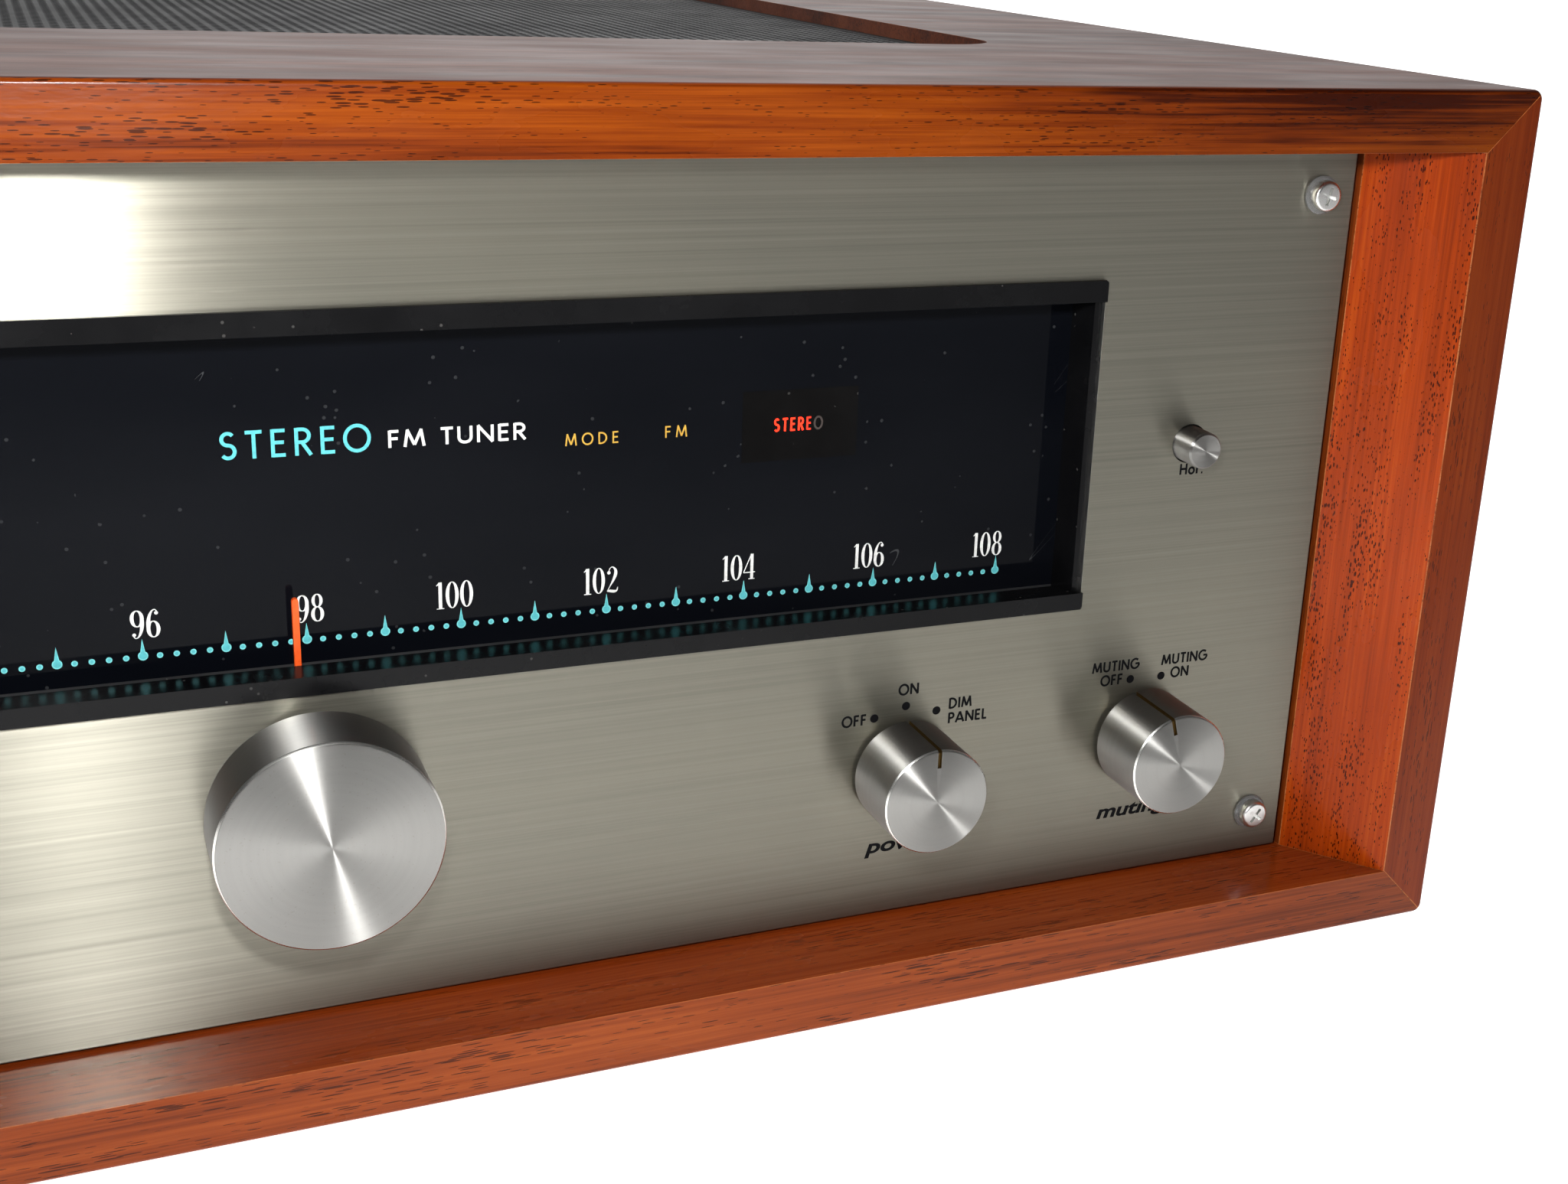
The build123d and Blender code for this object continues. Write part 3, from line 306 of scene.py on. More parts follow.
def see_through(name, color, rough=0.06, weight=1.0, index=1.5):
    """Clear glass or plastic with faint smears."""
    g = Graph(name)
    smear = g.span(g.grain(80, detail=4), 0.4, 0.75, rough, rough + 0.10)
    tone = g.mix(g.grain(60), color, tuple(v * 0.95 for v in color))
    return g.set(Base_Color=tone, Roughness=smear, Transmission_Weight=weight, IOR=index)


def laminations(name):
    """Edge-on steel sheets under dark enamel."""
    g = Graph(name)
    sheets = g.grain((20, 2600, 20), detail=1)
    cloud = g.grain(60, detail=4)
    tone = g.mix(g.span(sheets, 0.4, 0.6), (0.018, 0.018, 0.02), (0.05, 0.05, 0.052))
    return g.set(
        Base_Color=tone, Roughness=g.span(cloud, 0.3, 0.7, 0.35, 0.55),
        Normal=g.bump(sheets, 0.4, 0.15),
    )


def dial_black():
    """Deep gloss black print under glass, with dust and hairline scratches."""
    g = Graph("dial_gloss_black")
    speck = g.math("LESS_THAN", g.cells(g.place(330)), 0.10)
    chosen = g.math("GREATER_THAN", g.grain(90, detail=2), 0.52)
    dust = g.times(speck, chosen)
    hair = g.grain((14, 300, 190), (0, math.radians(50), 0), detail=0, warp=0.2)
    near = g.math("LESS_THAN", g.math("ABSOLUTE", g.math("SUBTRACT", hair, 0.76)), 0.0011)
    broken = g.math("GREATER_THAN", g.grain(45, detail=1), 0.56)
    scratch = g.times(near, broken)
    film = g.span(g.grain((12, 12, 30), detail=4), 0.35, 0.8)
    tone = g.mix(film, (0.0020, 0.0025, 0.0040), (0.0045, 0.0050, 0.0068))
    tone = g.mix(g.times(dust, 0.07), tone, (0.30, 0.31, 0.32))
    tone = g.mix(g.times(scratch, 0.16), tone, (0.25, 0.26, 0.27))
    return g.set(
        Base_Color=tone, Roughness=g.span(film, 0, 1, 0.05, 0.10), Specular_IOR_Level=0.07,
        Normal=g.bump(g.math("ADD", dust, scratch), 0.1, 0.02),
    )


FRONT_WALNUT = ((0.040, 0.0050, 0.0005), (0.155, 0.024, 0.0012), (0.27, 0.055, 0.0030))
RED_WALNUT = ((0.11, 0.011, 0.0008), (0.33, 0.039, 0.0014), (0.46, 0.078, 0.0040))
STILE_WALNUT = ((0.060, 0.008, 0.0006), (0.185, 0.024, 0.0012), (0.25, 0.043, 0.0036))
BROWN_WALNUT = ((0.090, 0.014, 0.0020), (0.23, 0.042, 0.0052), (0.32, 0.072, 0.010))
LEDGE_WALNUT = ((0.085, 0.013, 0.0020), (0.25, 0.038, 0.0050), (0.34, 0.070, 0.012))
# Painted shade and sheen: a darker, greyer walnut for the top board's upper faces, standing in for a
# key light that only grazes them and pale sky in their lacquer.
TOP_SHADE_WALNUT = ((0.045, 0.010, 0.0035), (0.135, 0.030, 0.009), (0.21, 0.055, 0.018))
# Lighter walnut on all the bevelled edges.
PALE_EDGE_WALNUT = ((0.20, 0.045, 0.009), (0.42, 0.125, 0.030), (0.50, 0.19, 0.06))

# Walnut by place: grain, tones, darkness of the pores, their length and width, gloss, coat, shift,
# and where they aren't the usual ones, figure scale, relief and spread.
WALNUTS = {
    # Painted shade and sheen: the top faces' walnut is darker and greyer than the fronts and sides.
    "walnut_top_painted_shade": (ALONG_X, TOP_SHADE_WALNUT, 0.55, (9, 0.35), 0.45, 0.10, 0.0, 1.0, 0.05),
    "walnut_front": (ALONG_X, FRONT_WALNUT, 0.75, (3.0, 0.24), 0.26, 0.08, 0.3, 1.3, 0.10, 0.30),
    "walnut_rail": (ALONG_X, BROWN_WALNUT, 0.70, (6.5, 0.26), 0.32, 0.12, 0.7),
    "walnut_ledge": (ALONG_X, LEDGE_WALNUT, 0.5, (6, 0.3), 0.22, 0.7, 1.1),
    "walnut_cheek": (ALONG_Z, RED_WALNUT, 0.9, (1.3, 0.26), 0.24, 0.08, 1.9, 0.8, 0.16, 0.8),
    "walnut_stile": (ALONG_Z, STILE_WALNUT, 0.6, (3.0, 0.26), 0.32, 0.1, 2.3),
    "walnut_side": (ALONG_Z, BROWN_WALNUT, 0.6, (6.0, 0.32), 0.36, 0.2, 2.9, 0.7),
    "walnut_pale_edge": (ALONG_X, PALE_EDGE_WALNUT, 0.5, (2.0, 0.4), 0.42, 0.2, 3.1, 3.0, 0.10),
}
mats = {name: wood(name, *recipe) for name, recipe in WALNUTS.items()}
mats |= {
    "groove": metal("groove_tarnish", (0.16, 0.10, 0.03), 0.5, 900, 0.5),
    "panel": brushed("champagne_brushed", (0.295, 0.283, 0.233), 0.335, 0.97),
    "spun": spun("spun_aluminium", (0.33, 0.325, 0.31)),
    "cut_edge": metal("machined_edge", (0.85, 0.84, 0.80), 0.18, 1500, 0.05),
    "bezel": plastic("bezel_gloss", (0.0022, 0.0022, 0.0026), 0.20, 900, 0.01, 0.14, 0.08),
    "dial": dial_black(),
    "black_steel": plastic("black_enamel", (0.018, 0.018, 0.019), 0.38, 1800, 0.03, 0.5, 0.2),
    "grille": plastic("grille_enamel", (0.012, 0.012, 0.013), 0.55, 1800, 0.03, 0.12, 0.1),
    "black_plastic": plastic("black_moulding", (0.02, 0.02, 0.02), 0.45, 1400, 0.03),
    "rubber": plastic("black_rubber", (0.02, 0.02, 0.02), 0.75, 900, 0.05, 0.3, 0.4),
    "zinc": metal("zinc_plate", (0.66, 0.65, 0.60), 0.32, 700, 0.2),
    "chassis": metal("bright_plate", (0.52, 0.515, 0.49), 0.24, 900, 0.2),
    "can": metal("drawn_aluminium", (0.80, 0.80, 0.79), 0.30, 500, 0.1),
    "mumetal": metal("annealed_shield", (0.42, 0.42, 0.41), 0.45, 500, 0.25),
    "brass": metal("turned_brass", (0.78, 0.57, 0.26), 0.28, 800, 0.2),
    "screw": metal("bright_screw", (0.80, 0.80, 0.78), 0.25, 1200, 0.1),
    "nylon": plastic("cream_nylon", (0.70, 0.66, 0.55), 0.45, 800, 0.02),
    "phenolic": plastic("brown_laminate", (0.17, 0.075, 0.025), 0.5, 600, 0.05),
    "glass": see_through("valve_glass", (0.93, 0.96, 0.96)),
    "washer": see_through("clear_washer", (0.90, 0.90, 0.88), 0.12, 0.85, 1.46),
    "cord": plastic("braided_cord", (0.40, 0.30, 0.16), 0.8, 2500, 0.2, 0.2),
    "enamel": laminations("transformer_enamel"),
    "pointer": printed("pointer_orange", (0.86, 0.10, 0.012), 0.12),
    "teal": printed("print_teal", (0.105, 0.52, 0.56), 0.10),
    "teal_rim": printed("print_teal_rim", (0.20, 0.66, 0.68), 0.10),
    "white": printed("print_white", (0.80, 0.80, 0.78), 0.05),
    "gold": printed("print_gold", (0.62, 0.36, 0.05), 0.05),
    "ink": printed("print_black", (0.006, 0.006, 0.007), level=0.04),
    "lens": plastic("lens_smoked", (0.0012, 0.0010, 0.0010), 0.10, 900, 0.005, 0.06, 0.05),
    "lit": printed("lit_red", (1.0, 0.022, 0.006), 3.0),
    "lit_dim": printed("lit_red_dim", (0.8, 0.03, 0.01), 0.8),
    "unlit": printed("unlit_letter", (0.06, 0.045, 0.04)),
    "plate_metal": metal("valve_electrodes", (0.20, 0.20, 0.21), 0.5, 900, 0.3),
    "mica": plastic("valve_mica", (0.55, 0.50, 0.40), 0.3, 900, 0.02),
    "getter": metal("getter_flash", (0.62, 0.60, 0.58), 0.12, 400, 0.1),
}


# --- pieces ------------------------------------------------------------------
def piece(name, mesh, material, body=ROOT, hides=(), origin=None):
    """Puts a mesh in the scene, riding on a body."""
    item = in_scene(name, mesh)
    if origin:
        item.location = origin
        bpy.context.view_layer.update()
    for one in material if isinstance(material, (list, tuple)) else [material]:
        mesh.materials.append(mats[one])
    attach(item, body)
    if hides:
        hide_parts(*hides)
    return item


def solid(name, verts, faces, smooth=False):
    """Mesh from points already in metres."""
    mesh = bpy.data.meshes.new(name)
    mesh.from_pydata([tuple(v) for v in verts], [], faces)
    mesh.validate()
    mesh.update()
    if smooth:
        mesh.shade_smooth()
    return mesh


def soften(item, width_mm):
    """Bevelled edges with clean normals."""
    bevel = item.modifiers.new("bevel", "BEVEL")
    bevel.width = width_mm * MM
    bevel.segments = 2
    bevel.limit_method = "ANGLE"
    bevel.angle_limit = math.radians(32)
    bevel.harden_normals = True


def bake_modifiers(item):
    """Replaces an object's mesh by what its modifiers make."""
    graph = bpy.context.evaluated_depsgraph_get()
    mesh = bpy.data.meshes.new_from_object(item.evaluated_get(graph))
    item.modifiers.clear()
    item.data = mesh


def cad_copy(node):
    """A CAD node's shape with its flats merged, as a new mesh."""
    work = bmesh.new()
    work.from_mesh(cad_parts[node].data)
    bmesh.ops.remove_doubles(work, verts=work.verts, dist=0.002 * MM)
    bmesh.ops.dissolve_limit(
        work, angle_limit=math.radians(0.6), verts=work.verts, edges=work.edges,
    )
    mesh = bpy.data.meshes.new(node + "_shape")
    work.to_mesh(mesh)
    work.free()
    for polygon in mesh.polygons:
        polygon.use_smooth = True
    mesh.set_sharp_from_angle(angle=math.radians(32))
    return mesh


def refined(node, material, bevel):
    """A piece with the CAD node's shape and softened edges."""
    item = piece(node + "_piece", cad_copy(node), material, ROOT, [node])
    soften(item, bevel)
    return item


def lathe(name, x, z, profile, material, body, segments, hides=()):
    """Closed solid turned about the Y axis through (x, z), from (p, radius) points.

    Of two materials, the second goes on the chamfers.
    """
    verts = []
    faces = []
    rings = []
    for p, radius in profile:
        if radius < 1e-6:
            rings.append([len(verts)])
            verts.append(Vector((0, p, 0)) * MM)
            continue
        rings.append(list(range(len(verts), len(verts) + segments)))
        for i in range(segments):
            angle = 2 * math.pi * i / segments
            verts.append(Vector((radius * math.sin(angle), p, radius * math.cos(angle))) * MM)
    for a, b in zip(rings, rings[1:]):
        for i in range(segments):
            j = (i + 1) % segments
            if len(a) == 1:
                faces.append((a[0], b[j], b[i]))
            elif len(b) == 1:
                faces.append((a[i], a[j], b[0]))
            else:
                faces.append((a[i], a[j], b[j], b[i]))
    mesh = solid(name, verts, faces, True)
    mesh.set_sharp_from_angle(angle=math.radians(28))
    if isinstance(material, list):
        for polygon in mesh.polygons:
            polygon.material_index = int(0.5 < abs(polygon.normal.y) < 0.85)
    return piece(name, mesh, material, body, hides, at(x, 0, z))


def box_mesh(name, x0, x1, p0, p1, z0, z1):
    """Closed box in panel terms."""
    verts = [at(x, p, z) for x in (x0, x1) for p in (p0, p1) for z in (z0, z1)]
    faces = [(0, 1, 3, 2), (4, 6, 7, 5), (0, 4, 5, 1), (2, 3, 7, 6), (0, 2, 6, 4), (1, 5, 7, 3)]
    return solid(name, verts, faces)


def cutter(x, z, angle, *box):
    """Box in panel terms about the origin, turned clockwise by angle and moved to (x, z)."""
    mesh = box_mesh("cutter", *box)
    there = Matrix.Translation(at(x, 0, z)) @ Matrix.Rotation(angle, 4, "Y")
    mesh.transform(there @ Matrix.Translation(-at(0, 0, 0)))
    return mesh


def carve(item, cutters, finish):
    """Takes cutter meshes out of a piece and gives the cut faces a finish."""
    for mesh in cutters:
        mesh.materials.append(mats[finish])
        tool = in_scene("cutter", mesh)
        cut = item.modifiers.new("cut", "BOOLEAN")
        cut.object = tool
        cut.operation = "DIFFERENCE"
        cut.solver = "EXACT"
        cut.material_mode = "TRANSFER"
        bake_modifiers(item)
        bpy.data.objects.remove(tool)
    item.data.shade_smooth()
    item.data.set_sharp_from_angle(angle=math.radians(28))


# --- cabinet -----------------------------------------------------------------
def board(node, finishes, choose):
    """A sleeve board: each face's finish is chosen by its normal, which for the top board puts painted
    shade and sheen on the faces that don't look forward or down; its bevelled edges take a lighter
    walnut.
    """
    item = refined(node, [*finishes, "walnut_pale_edge"], bevel=0.45)
    for polygon in item.data.polygons:
        polygon.material_index = choose(polygon.normal)
    # The bevels take the lighter edge walnut.
    item.modifiers["bevel"].material = len(finishes)


def cabinet():
    """The four boards and the feet."""
    # Painted shade and sheen on the top board's faces that don't look forward or down.
    board(
        "cabinet_top", ["walnut_top_painted_shade", "walnut_front"],
        lambda normal: 1 if normal.y < -0.5 or normal.z < -0.5 else 0,
    )
    board(
        "cabinet_bottom", ["walnut_ledge", "walnut_rail"],
        lambda normal: 0 if normal.z > 0.5 else 1,
    )
    for node in ("cabinet_left", "cabinet_right"):
        board(
            node, ["walnut_side", "walnut_stile", "walnut_cheek"],
            lambda normal: 0 if normal.y > -0.3 else 1 if normal.y < -0.9 else 2,
        )
    refined("feet", "rubber", bevel=0.5)


def vent_grille():
    """Punched sheet: round holes in straight rows inside a plain border."""
    pitch = 2.8
    hole_r = 0.98
    border = 14.0
    x0, x1, p0, p1, z0, z1 = extent("vent_grille")
    count_x = int((x1 - x0 - 2 * border) / pitch)
    count_p = int((p1 - p0 - 2 * border) / pitch)
    start_x = (x0 + x1) / 2 - count_x * pitch / 2
    start_p = (p0 + p1) / 2 - count_p * pitch / 2
    plan = []
    sheet = []
    walls = []

    def point(x, p):
        plan.append((x, p))
        return len(plan) - 1

    grid = {
        (i, j): point(start_x + i * pitch, start_p + j * pitch)
        for i in range(count_x + 1) for j in range(count_p + 1)
    }
    for i in range(count_x):
        for j in range(count_p):
            cx = start_x + (i + 0.5) * pitch
            cp = start_p + (j + 0.5) * pitch
            hole = [point(*spot) for spot in oval(cx, cp, hole_r, hole_r, 8, 22.5)]
            corners = [grid[i + 1, j + 1], grid[i, j + 1], grid[i, j], grid[i + 1, j]]
            for k in range(4):
                a, b, c = hole[2 * k], hole[2 * k + 1], hole[(2 * k + 2) % 8]
                sheet += [(corners[k], b, a), (corners[k], corners[(k + 1) % 4], c, b)]
            walls += zip(hole, hole[1:] + hole[:1])
    rim = [point(x0, p0), point(x1, p0), point(x1, p1), point(x0, p1)]
    inner = [
        [grid[i, 0] for i in range(count_x + 1)],
        [grid[count_x, j] for j in range(count_p + 1)],
        [grid[i, count_p] for i in range(count_x, -1, -1)],
        [grid[0, j] for j in range(count_p, -1, -1)],
    ]
    for side in range(4):
        after = (side + 1) % 4
        sheet.append((rim[side], rim[after], *inner[side][::-1]))
        walls.append((rim[after], rim[side]))
    count = len(plan)
    verts = [at(x, p, z) for z in (z1, z0) for x, p in plan]
    faces = sheet + [tuple(i + count for i in face[::-1]) for face in sheet]
    faces += [(a, b, b + count, a + count) for a, b in walls]
    mesh = solid("vent_grille_mesh", verts, faces)
    piece("vent_grille_punched", mesh, "grille", ROOT, ["vent_grille"])


# --- panel -------------------------------------------------------------------
def panel():
    """Front panel, with machined edges round its window and bores."""
    item = refined("front_panel", ["panel", "cut_edge"], bevel=0.25)
    half = (panel_high.x - panel_low.x) / 2
    for polygon in item.data.polygons:
        centre = polygon.center
        inside = abs(centre.x) < half - 2 * MM and BASE + 4 * MM < centre.z < panel_high.z - 4 * MM
        if abs(polygon.normal.y) < 0.5 and inside:
            polygon.material_index = 1


def corner_screws():
    """Cross-recess heads on clear washers."""
    x0, x1, front, _, z0, z1 = extent("panel_screws")
    washer_front = extent("panel_washers")[2]
    head_r = 2.9
    head_h = 0.8
    shank_r = 2.0
    shank_end = 8.0
    washer_r = 3.6
    bore_r = 2.05
    spots = [(x, z) for x in (x0 + head_r, x1 - head_r) for z in (z0 + head_r, z1 - head_r)]
    profile = [
        (front, 0.0), *arc(front + head_h, head_r * 0.78, -head_h, head_r * 0.22, 0, 90, 6),
        (washer_front, head_r), (washer_front, shank_r), (shank_end, shank_r), (shank_end, 0.0),
    ]
    screws = []
    rng = random.Random(4)
    for x, z in spots:
        head = lathe("screw", x, z, profile, "screw", ROOT, 48)
        turn = rng.uniform(0, math.pi / 2)
        carve(head, [
            cutter(x, z, turn + extra, -1.7, 1.7, front - 1, front + 1.1, -0.32, 0.32)
            for extra in (0, math.pi / 2)
        ], "screw")
        screws.append(head)
    join(screws, "corner_screws", ["panel_screws"])
    profile = [
        (0.0, bore_r), (washer_front, bore_r), (washer_front, washer_r - 0.35),
        (washer_front + 0.2, washer_r), (0.0, washer_r), (0.0, bore_r),
    ]
    rings = [
        lathe("washer", x, z, profile, "washer", ROOT, 64) for x, z in spots
    ]
    join(rings, "corner_washers", ["panel_washers"])


def join(items, name, hides=()):
    """Joins pieces that share a body into one."""
    bpy.ops.object.select_all(action="DESELECT")
    for item in items:
        item.select_set(True)
    bpy.context.view_layer.objects.active = items[0]
    bpy.ops.object.join()
    items[0].name = name
    if hides:
        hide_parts(*hides)


# --- knobs -------------------------------------------------------------------
def knob_size(node):
    """A knob's middle, x and z, its radius, and its front and back, in panel terms."""
    x0, x1, front, back, z0, z1 = extent(node)
    return (x0 + x1) / 2, (z0 + z1) / 2, (x1 - x0) / 2, front, back


def knobs():
    """Spun knobs; the small ones carry a pointer groove at their rest angle."""
    x, z, radius, front, back = knob_size("tuning_knob")
    lathe("tuning_knob_spun", x, z, [
        (front, 0), (front, radius - 0.55), (front + 0.12, radius - 0.3), (front + 0.42, radius),
        (back - 0.3, radius), (back, radius - 0.3), (back, 9.0), (back - 3.0, 9.0), (back - 3.0, 0),
    ], ["spun", "cut_edge"], "tuning", 256, ["tuning_knob"])

    rear = -1.0
    shaft_r = 3.17
    half_groove = 0.38
    # node, body, groove angle clockwise from straight up
    for node, body, degrees in (
        ("power_knob", "power", 0), ("muting_knob", "muting", -15),
        ("mode_knob", "mode", -30), ("display_knob", "display", 0),
    ):
        x, z, radius, front, back = knob_size(node)
        item = lathe(node + "_spun", x, z, [
            (front, 0), (front, radius - 0.45), (front + 0.1, radius - 0.25), (front + 0.4, radius),
            (rear - 0.2, radius), (rear, radius - 0.2), (rear, 8.0), (rear - 3, 8.0),
            (rear - 3, shaft_r), (back, shaft_r), (back, 0),
        ], ["spun", "cut_edge"], body, 160, [node])
        groove = (x, z, math.radians(degrees), -half_groove, half_groove, front - 1)
        side = cutter(*groove, rear + 1, radius - 0.75, radius + 1)
        face = cutter(*groove, front + 0.7, radius * 0.66, radius + 1)
        carve(item, [side, face], "groove")

    stem_r = 1.5
    stem_front = 4.4
    for node, body in (("vertical_knob", "vertical_trim"), ("horizontal_knob", "horizontal_trim")):
        x, z, radius, front, back = knob_size(node)
        lathe(node + "_spun", x, z, [
            (front, 0), (front, radius - 0.35), (front + 0.35, radius), (stem_front, radius),
            (stem_front, stem_r), (back, stem_r), (back, 0),
        ], "spun", body, 96, [node])

    for node, body in (("level_knob_left", "level_l"), ("level_knob_right", "level_r")):
        x, z, radius, front, back = knob_size(node)
        start = back - 10
        item = lathe(node + "_moulded", x, z, [
            (front, 0), (front, stem_r), (start, stem_r), (start, radius),
            (back - 0.5, radius), (back, radius - 0.5), (back, 0),
        ], "black_plastic", body, 96, [node])
        slot = cutter(x, z, 0, -0.6, 0.6, back - 0.8, back + 1, -radius, radius)
        carve(item, [slot], "black_plastic")


# --- printing ----------------------------------------------------------------
class Print:
    """Flat shapes in panel terms that become one printed mesh."""

    def __init__(self):
        self.verts = []
        self.faces = []

    def add(self, points, faces, x=0.0, z=0.0, scale=1.0, lift=0.0):
        """Adds a shape, standing lift in front of the rest."""
        start = len(self.verts)
        self.verts += [(x + a * scale, z + b * scale, lift) for a, b in points]
        self.faces += [tuple(start + i for i in face) for face in faces]

    def mesh(self, name, p):
        return solid(name, [at(x, p - lift, z) for x, z, lift in self.verts], self.faces)


def ribbon(line, widths, closed=False):
    """Strip along a line, of one width or a list of them. Returns points and faces."""
    count = len(line)
    if not isinstance(widths, list):
        widths = [widths] * count
    points = []
    for i, (x, z) in enumerate(line):
        if closed:
            before, after = line[i - 1], line[(i + 1) % count]
        else:
            before, after = line[max(i - 1, 0)], line[min(i + 1, count - 1)]
        dx, dz = after[0] - before[0], after[1] - before[1]
        size = math.hypot(dx, dz) or 1.0
        nx, nz = -dz / size * widths[i] / 2, dx / size * widths[i] / 2
        points += [(x + nx, z + nz), (x - nx, z - nz)]
    faces = [
        (2 * i, 2 * i + 1, (2 * i + 3) % (2 * count), (2 * i + 2) % (2 * count))
        for i in range(count if closed else count - 1)
    ]
    return points, faces


def smooth_line(points):
    """Catmull-Rom line through (x, z, width) points."""
    steps = 7
    out = []
    padded = [points[0]] + list(points) + [points[-1]]
    for a, b, c, d in zip(padded, padded[1:], padded[2:], padded[3:]):
        for step in range(steps):
            t = step / steps
            out.append(tuple(
                0.5 * (2 * q + (r - p) * t + (2 * p - 5 * q + 4 * r - s) * t * t
                       + (3 * q - p - 3 * r + s) * t ** 3)
                for p, q, r, s in zip(a, b, c, d)
            ))
    out.append(tuple(points[-1]))
    return [(x, z) for x, z, _ in out], [max(w, 0.012) for _, _, w in out]


def bowl(cx, cz, rx, rz, thick, thin=0.03):
    """Closed oval strip, thick at its sides and thin at its top and bottom."""
    line = oval(cx, cz, rx, rz, 28)
    widths = [thin + (thick - thin) * (abs(x - cx) / rx) ** 1.4 for x, _ in line]
    return ribbon(line, widths, closed=True)


def disc(cx, cz, radius, count=14):
    """Round dot as one face."""
    return oval(cx, cz, radius, radius, count), [tuple(range(count))]


def digit_shapes(digit):
    """Parts of a high-contrast serif digit, one unit tall."""
    serif = 0.030
    if digit == "0":
        return [bowl(0.24, 0.49, 0.165, 0.475, 0.125)]
    if digit == "1":
        return [
            ribbon([(0.17, 0.0), (0.17, 0.98)], 0.12),
            ribbon([(0.04, 0.015), (0.30, 0.015)], serif),
            ribbon([(0.15, 0.955), (0.04, 0.86)], [0.07, 0.025]),
        ]
    if digit == "2":
        neck = [(0.09, 0.72, 0.03), (0.14, 0.90, 0.03), (0.24, 0.97, 0.03), (0.35, 0.86, 0.09),
                (0.36, 0.70, 0.12), (0.29, 0.50, 0.09), (0.16, 0.26, 0.035), (0.05, 0.06, 0.03)]
        foot = [(0.05, 0.07, 0.05), (0.16, 0.07, 0.10), (0.30, 0.045, 0.10), (0.40, 0.07, 0.06),
                (0.44, 0.20, 0.025)]
        return [
            ribbon(*smooth_line(neck)), ribbon(*smooth_line(foot)), disc(0.11, 0.76, 0.065),
        ]
    if digit == "4":
        return [
            ribbon([(0.32, 0.98), (0.02, 0.27)], 0.035),
            ribbon([(0.02, 0.27), (0.47, 0.27)], 0.04),
            ribbon([(0.34, 0.0), (0.34, 0.98)], 0.115),
            ribbon([(0.22, 0.015), (0.46, 0.015)], serif),
        ]
    if digit in "69":
        stem = [(0.085, 0.34, 0.115), (0.095, 0.55, 0.12), (0.14, 0.76, 0.09), (0.22, 0.92, 0.05),
                (0.31, 0.965, 0.03), (0.375, 0.90, 0.03)]
        parts = [
            bowl(0.24, 0.29, 0.155, 0.275, 0.12),
            ribbon(*smooth_line(stem)), disc(0.355, 0.845, 0.06),
        ]
        if digit == "9":
            parts = [([(0.48 - x, 0.98 - z) for x, z in points], faces) for points, faces in parts]
        return parts
    return [
        bowl(0.24, 0.745, 0.13, 0.225, 0.105),
        bowl(0.24, 0.265, 0.155, 0.255, 0.12),
    ]


LAYER = 0.004
DIGIT_STEP = {"0": 0.50, "1": 0.34, "2": 0.48, "4": 0.50, "6": 0.49, "8": 0.49, "9": 0.49}
FIRST_MHZ, LAST_MHZ = 88, 108
MHZ_STEP = 12.8
MARK_98_X = 0.7
TICK_Z = 64.7
NUMERAL_Z = 67.7
NUMERAL_H = 4.9


def mhz_x(mhz):
    """Where a frequency stands on the dial."""
    return MARK_98_X + MHZ_STEP * (mhz - 98)


def drop(x, z, height, width, grow=0.0):
    """Teardrop with its point up."""
    radius = width / 2 + grow
    points = [(x, z + height + 1.6 * grow), *arc(x, z, radius, radius, 62, -242)]
    return points, [tuple(range(len(points)))[::-1]]


def dial_print():
    """Scale marks and numerals on the dial glass."""
    glass_front = extent("dial_glass")[2]
    plane = glass_front - 0.03
    rim = Print()
    core = Print()
    numerals = Print()
    for mhz in range(FIRST_MHZ, LAST_MHZ + 1):
        x = mhz_x(mhz)
        rim.add(*drop(x, TICK_Z, 2.75, 1.35, 0.12))
        core.add(*drop(x, TICK_Z, 2.55, 1.15))
        if mhz < LAST_MHZ:
            for part in range(1, 5):
                dot_x = x + part * MHZ_STEP / 5
                rim.add(*disc(dot_x, TICK_Z - 0.15, 0.50))
                core.add(*disc(dot_x, TICK_Z - 0.15, 0.28))
        if mhz % 2 == 0:
            text = str(mhz)
            width = sum(DIGIT_STEP[c] for c in text) * NUMERAL_H
            left = x - width / 2 + (0.7 if mhz < 100 else -1.0 if mhz < LAST_MHZ else -2.0)
            for c in text:
                for order, (points, faces) in enumerate(digit_shapes(c)):
                    numerals.add(points, faces, left, NUMERAL_Z, NUMERAL_H, lift=order * LAYER)
                left += DIGIT_STEP[c] * NUMERAL_H
    piece("scale_marks_rim", rim.mesh("rim", plane), "teal_rim", ROOT)
    piece("scale_marks", core.mesh("core", plane - 0.015), "teal", ROOT)
    piece("scale_numerals", numerals.mesh("numerals", plane), "white", ROOT)


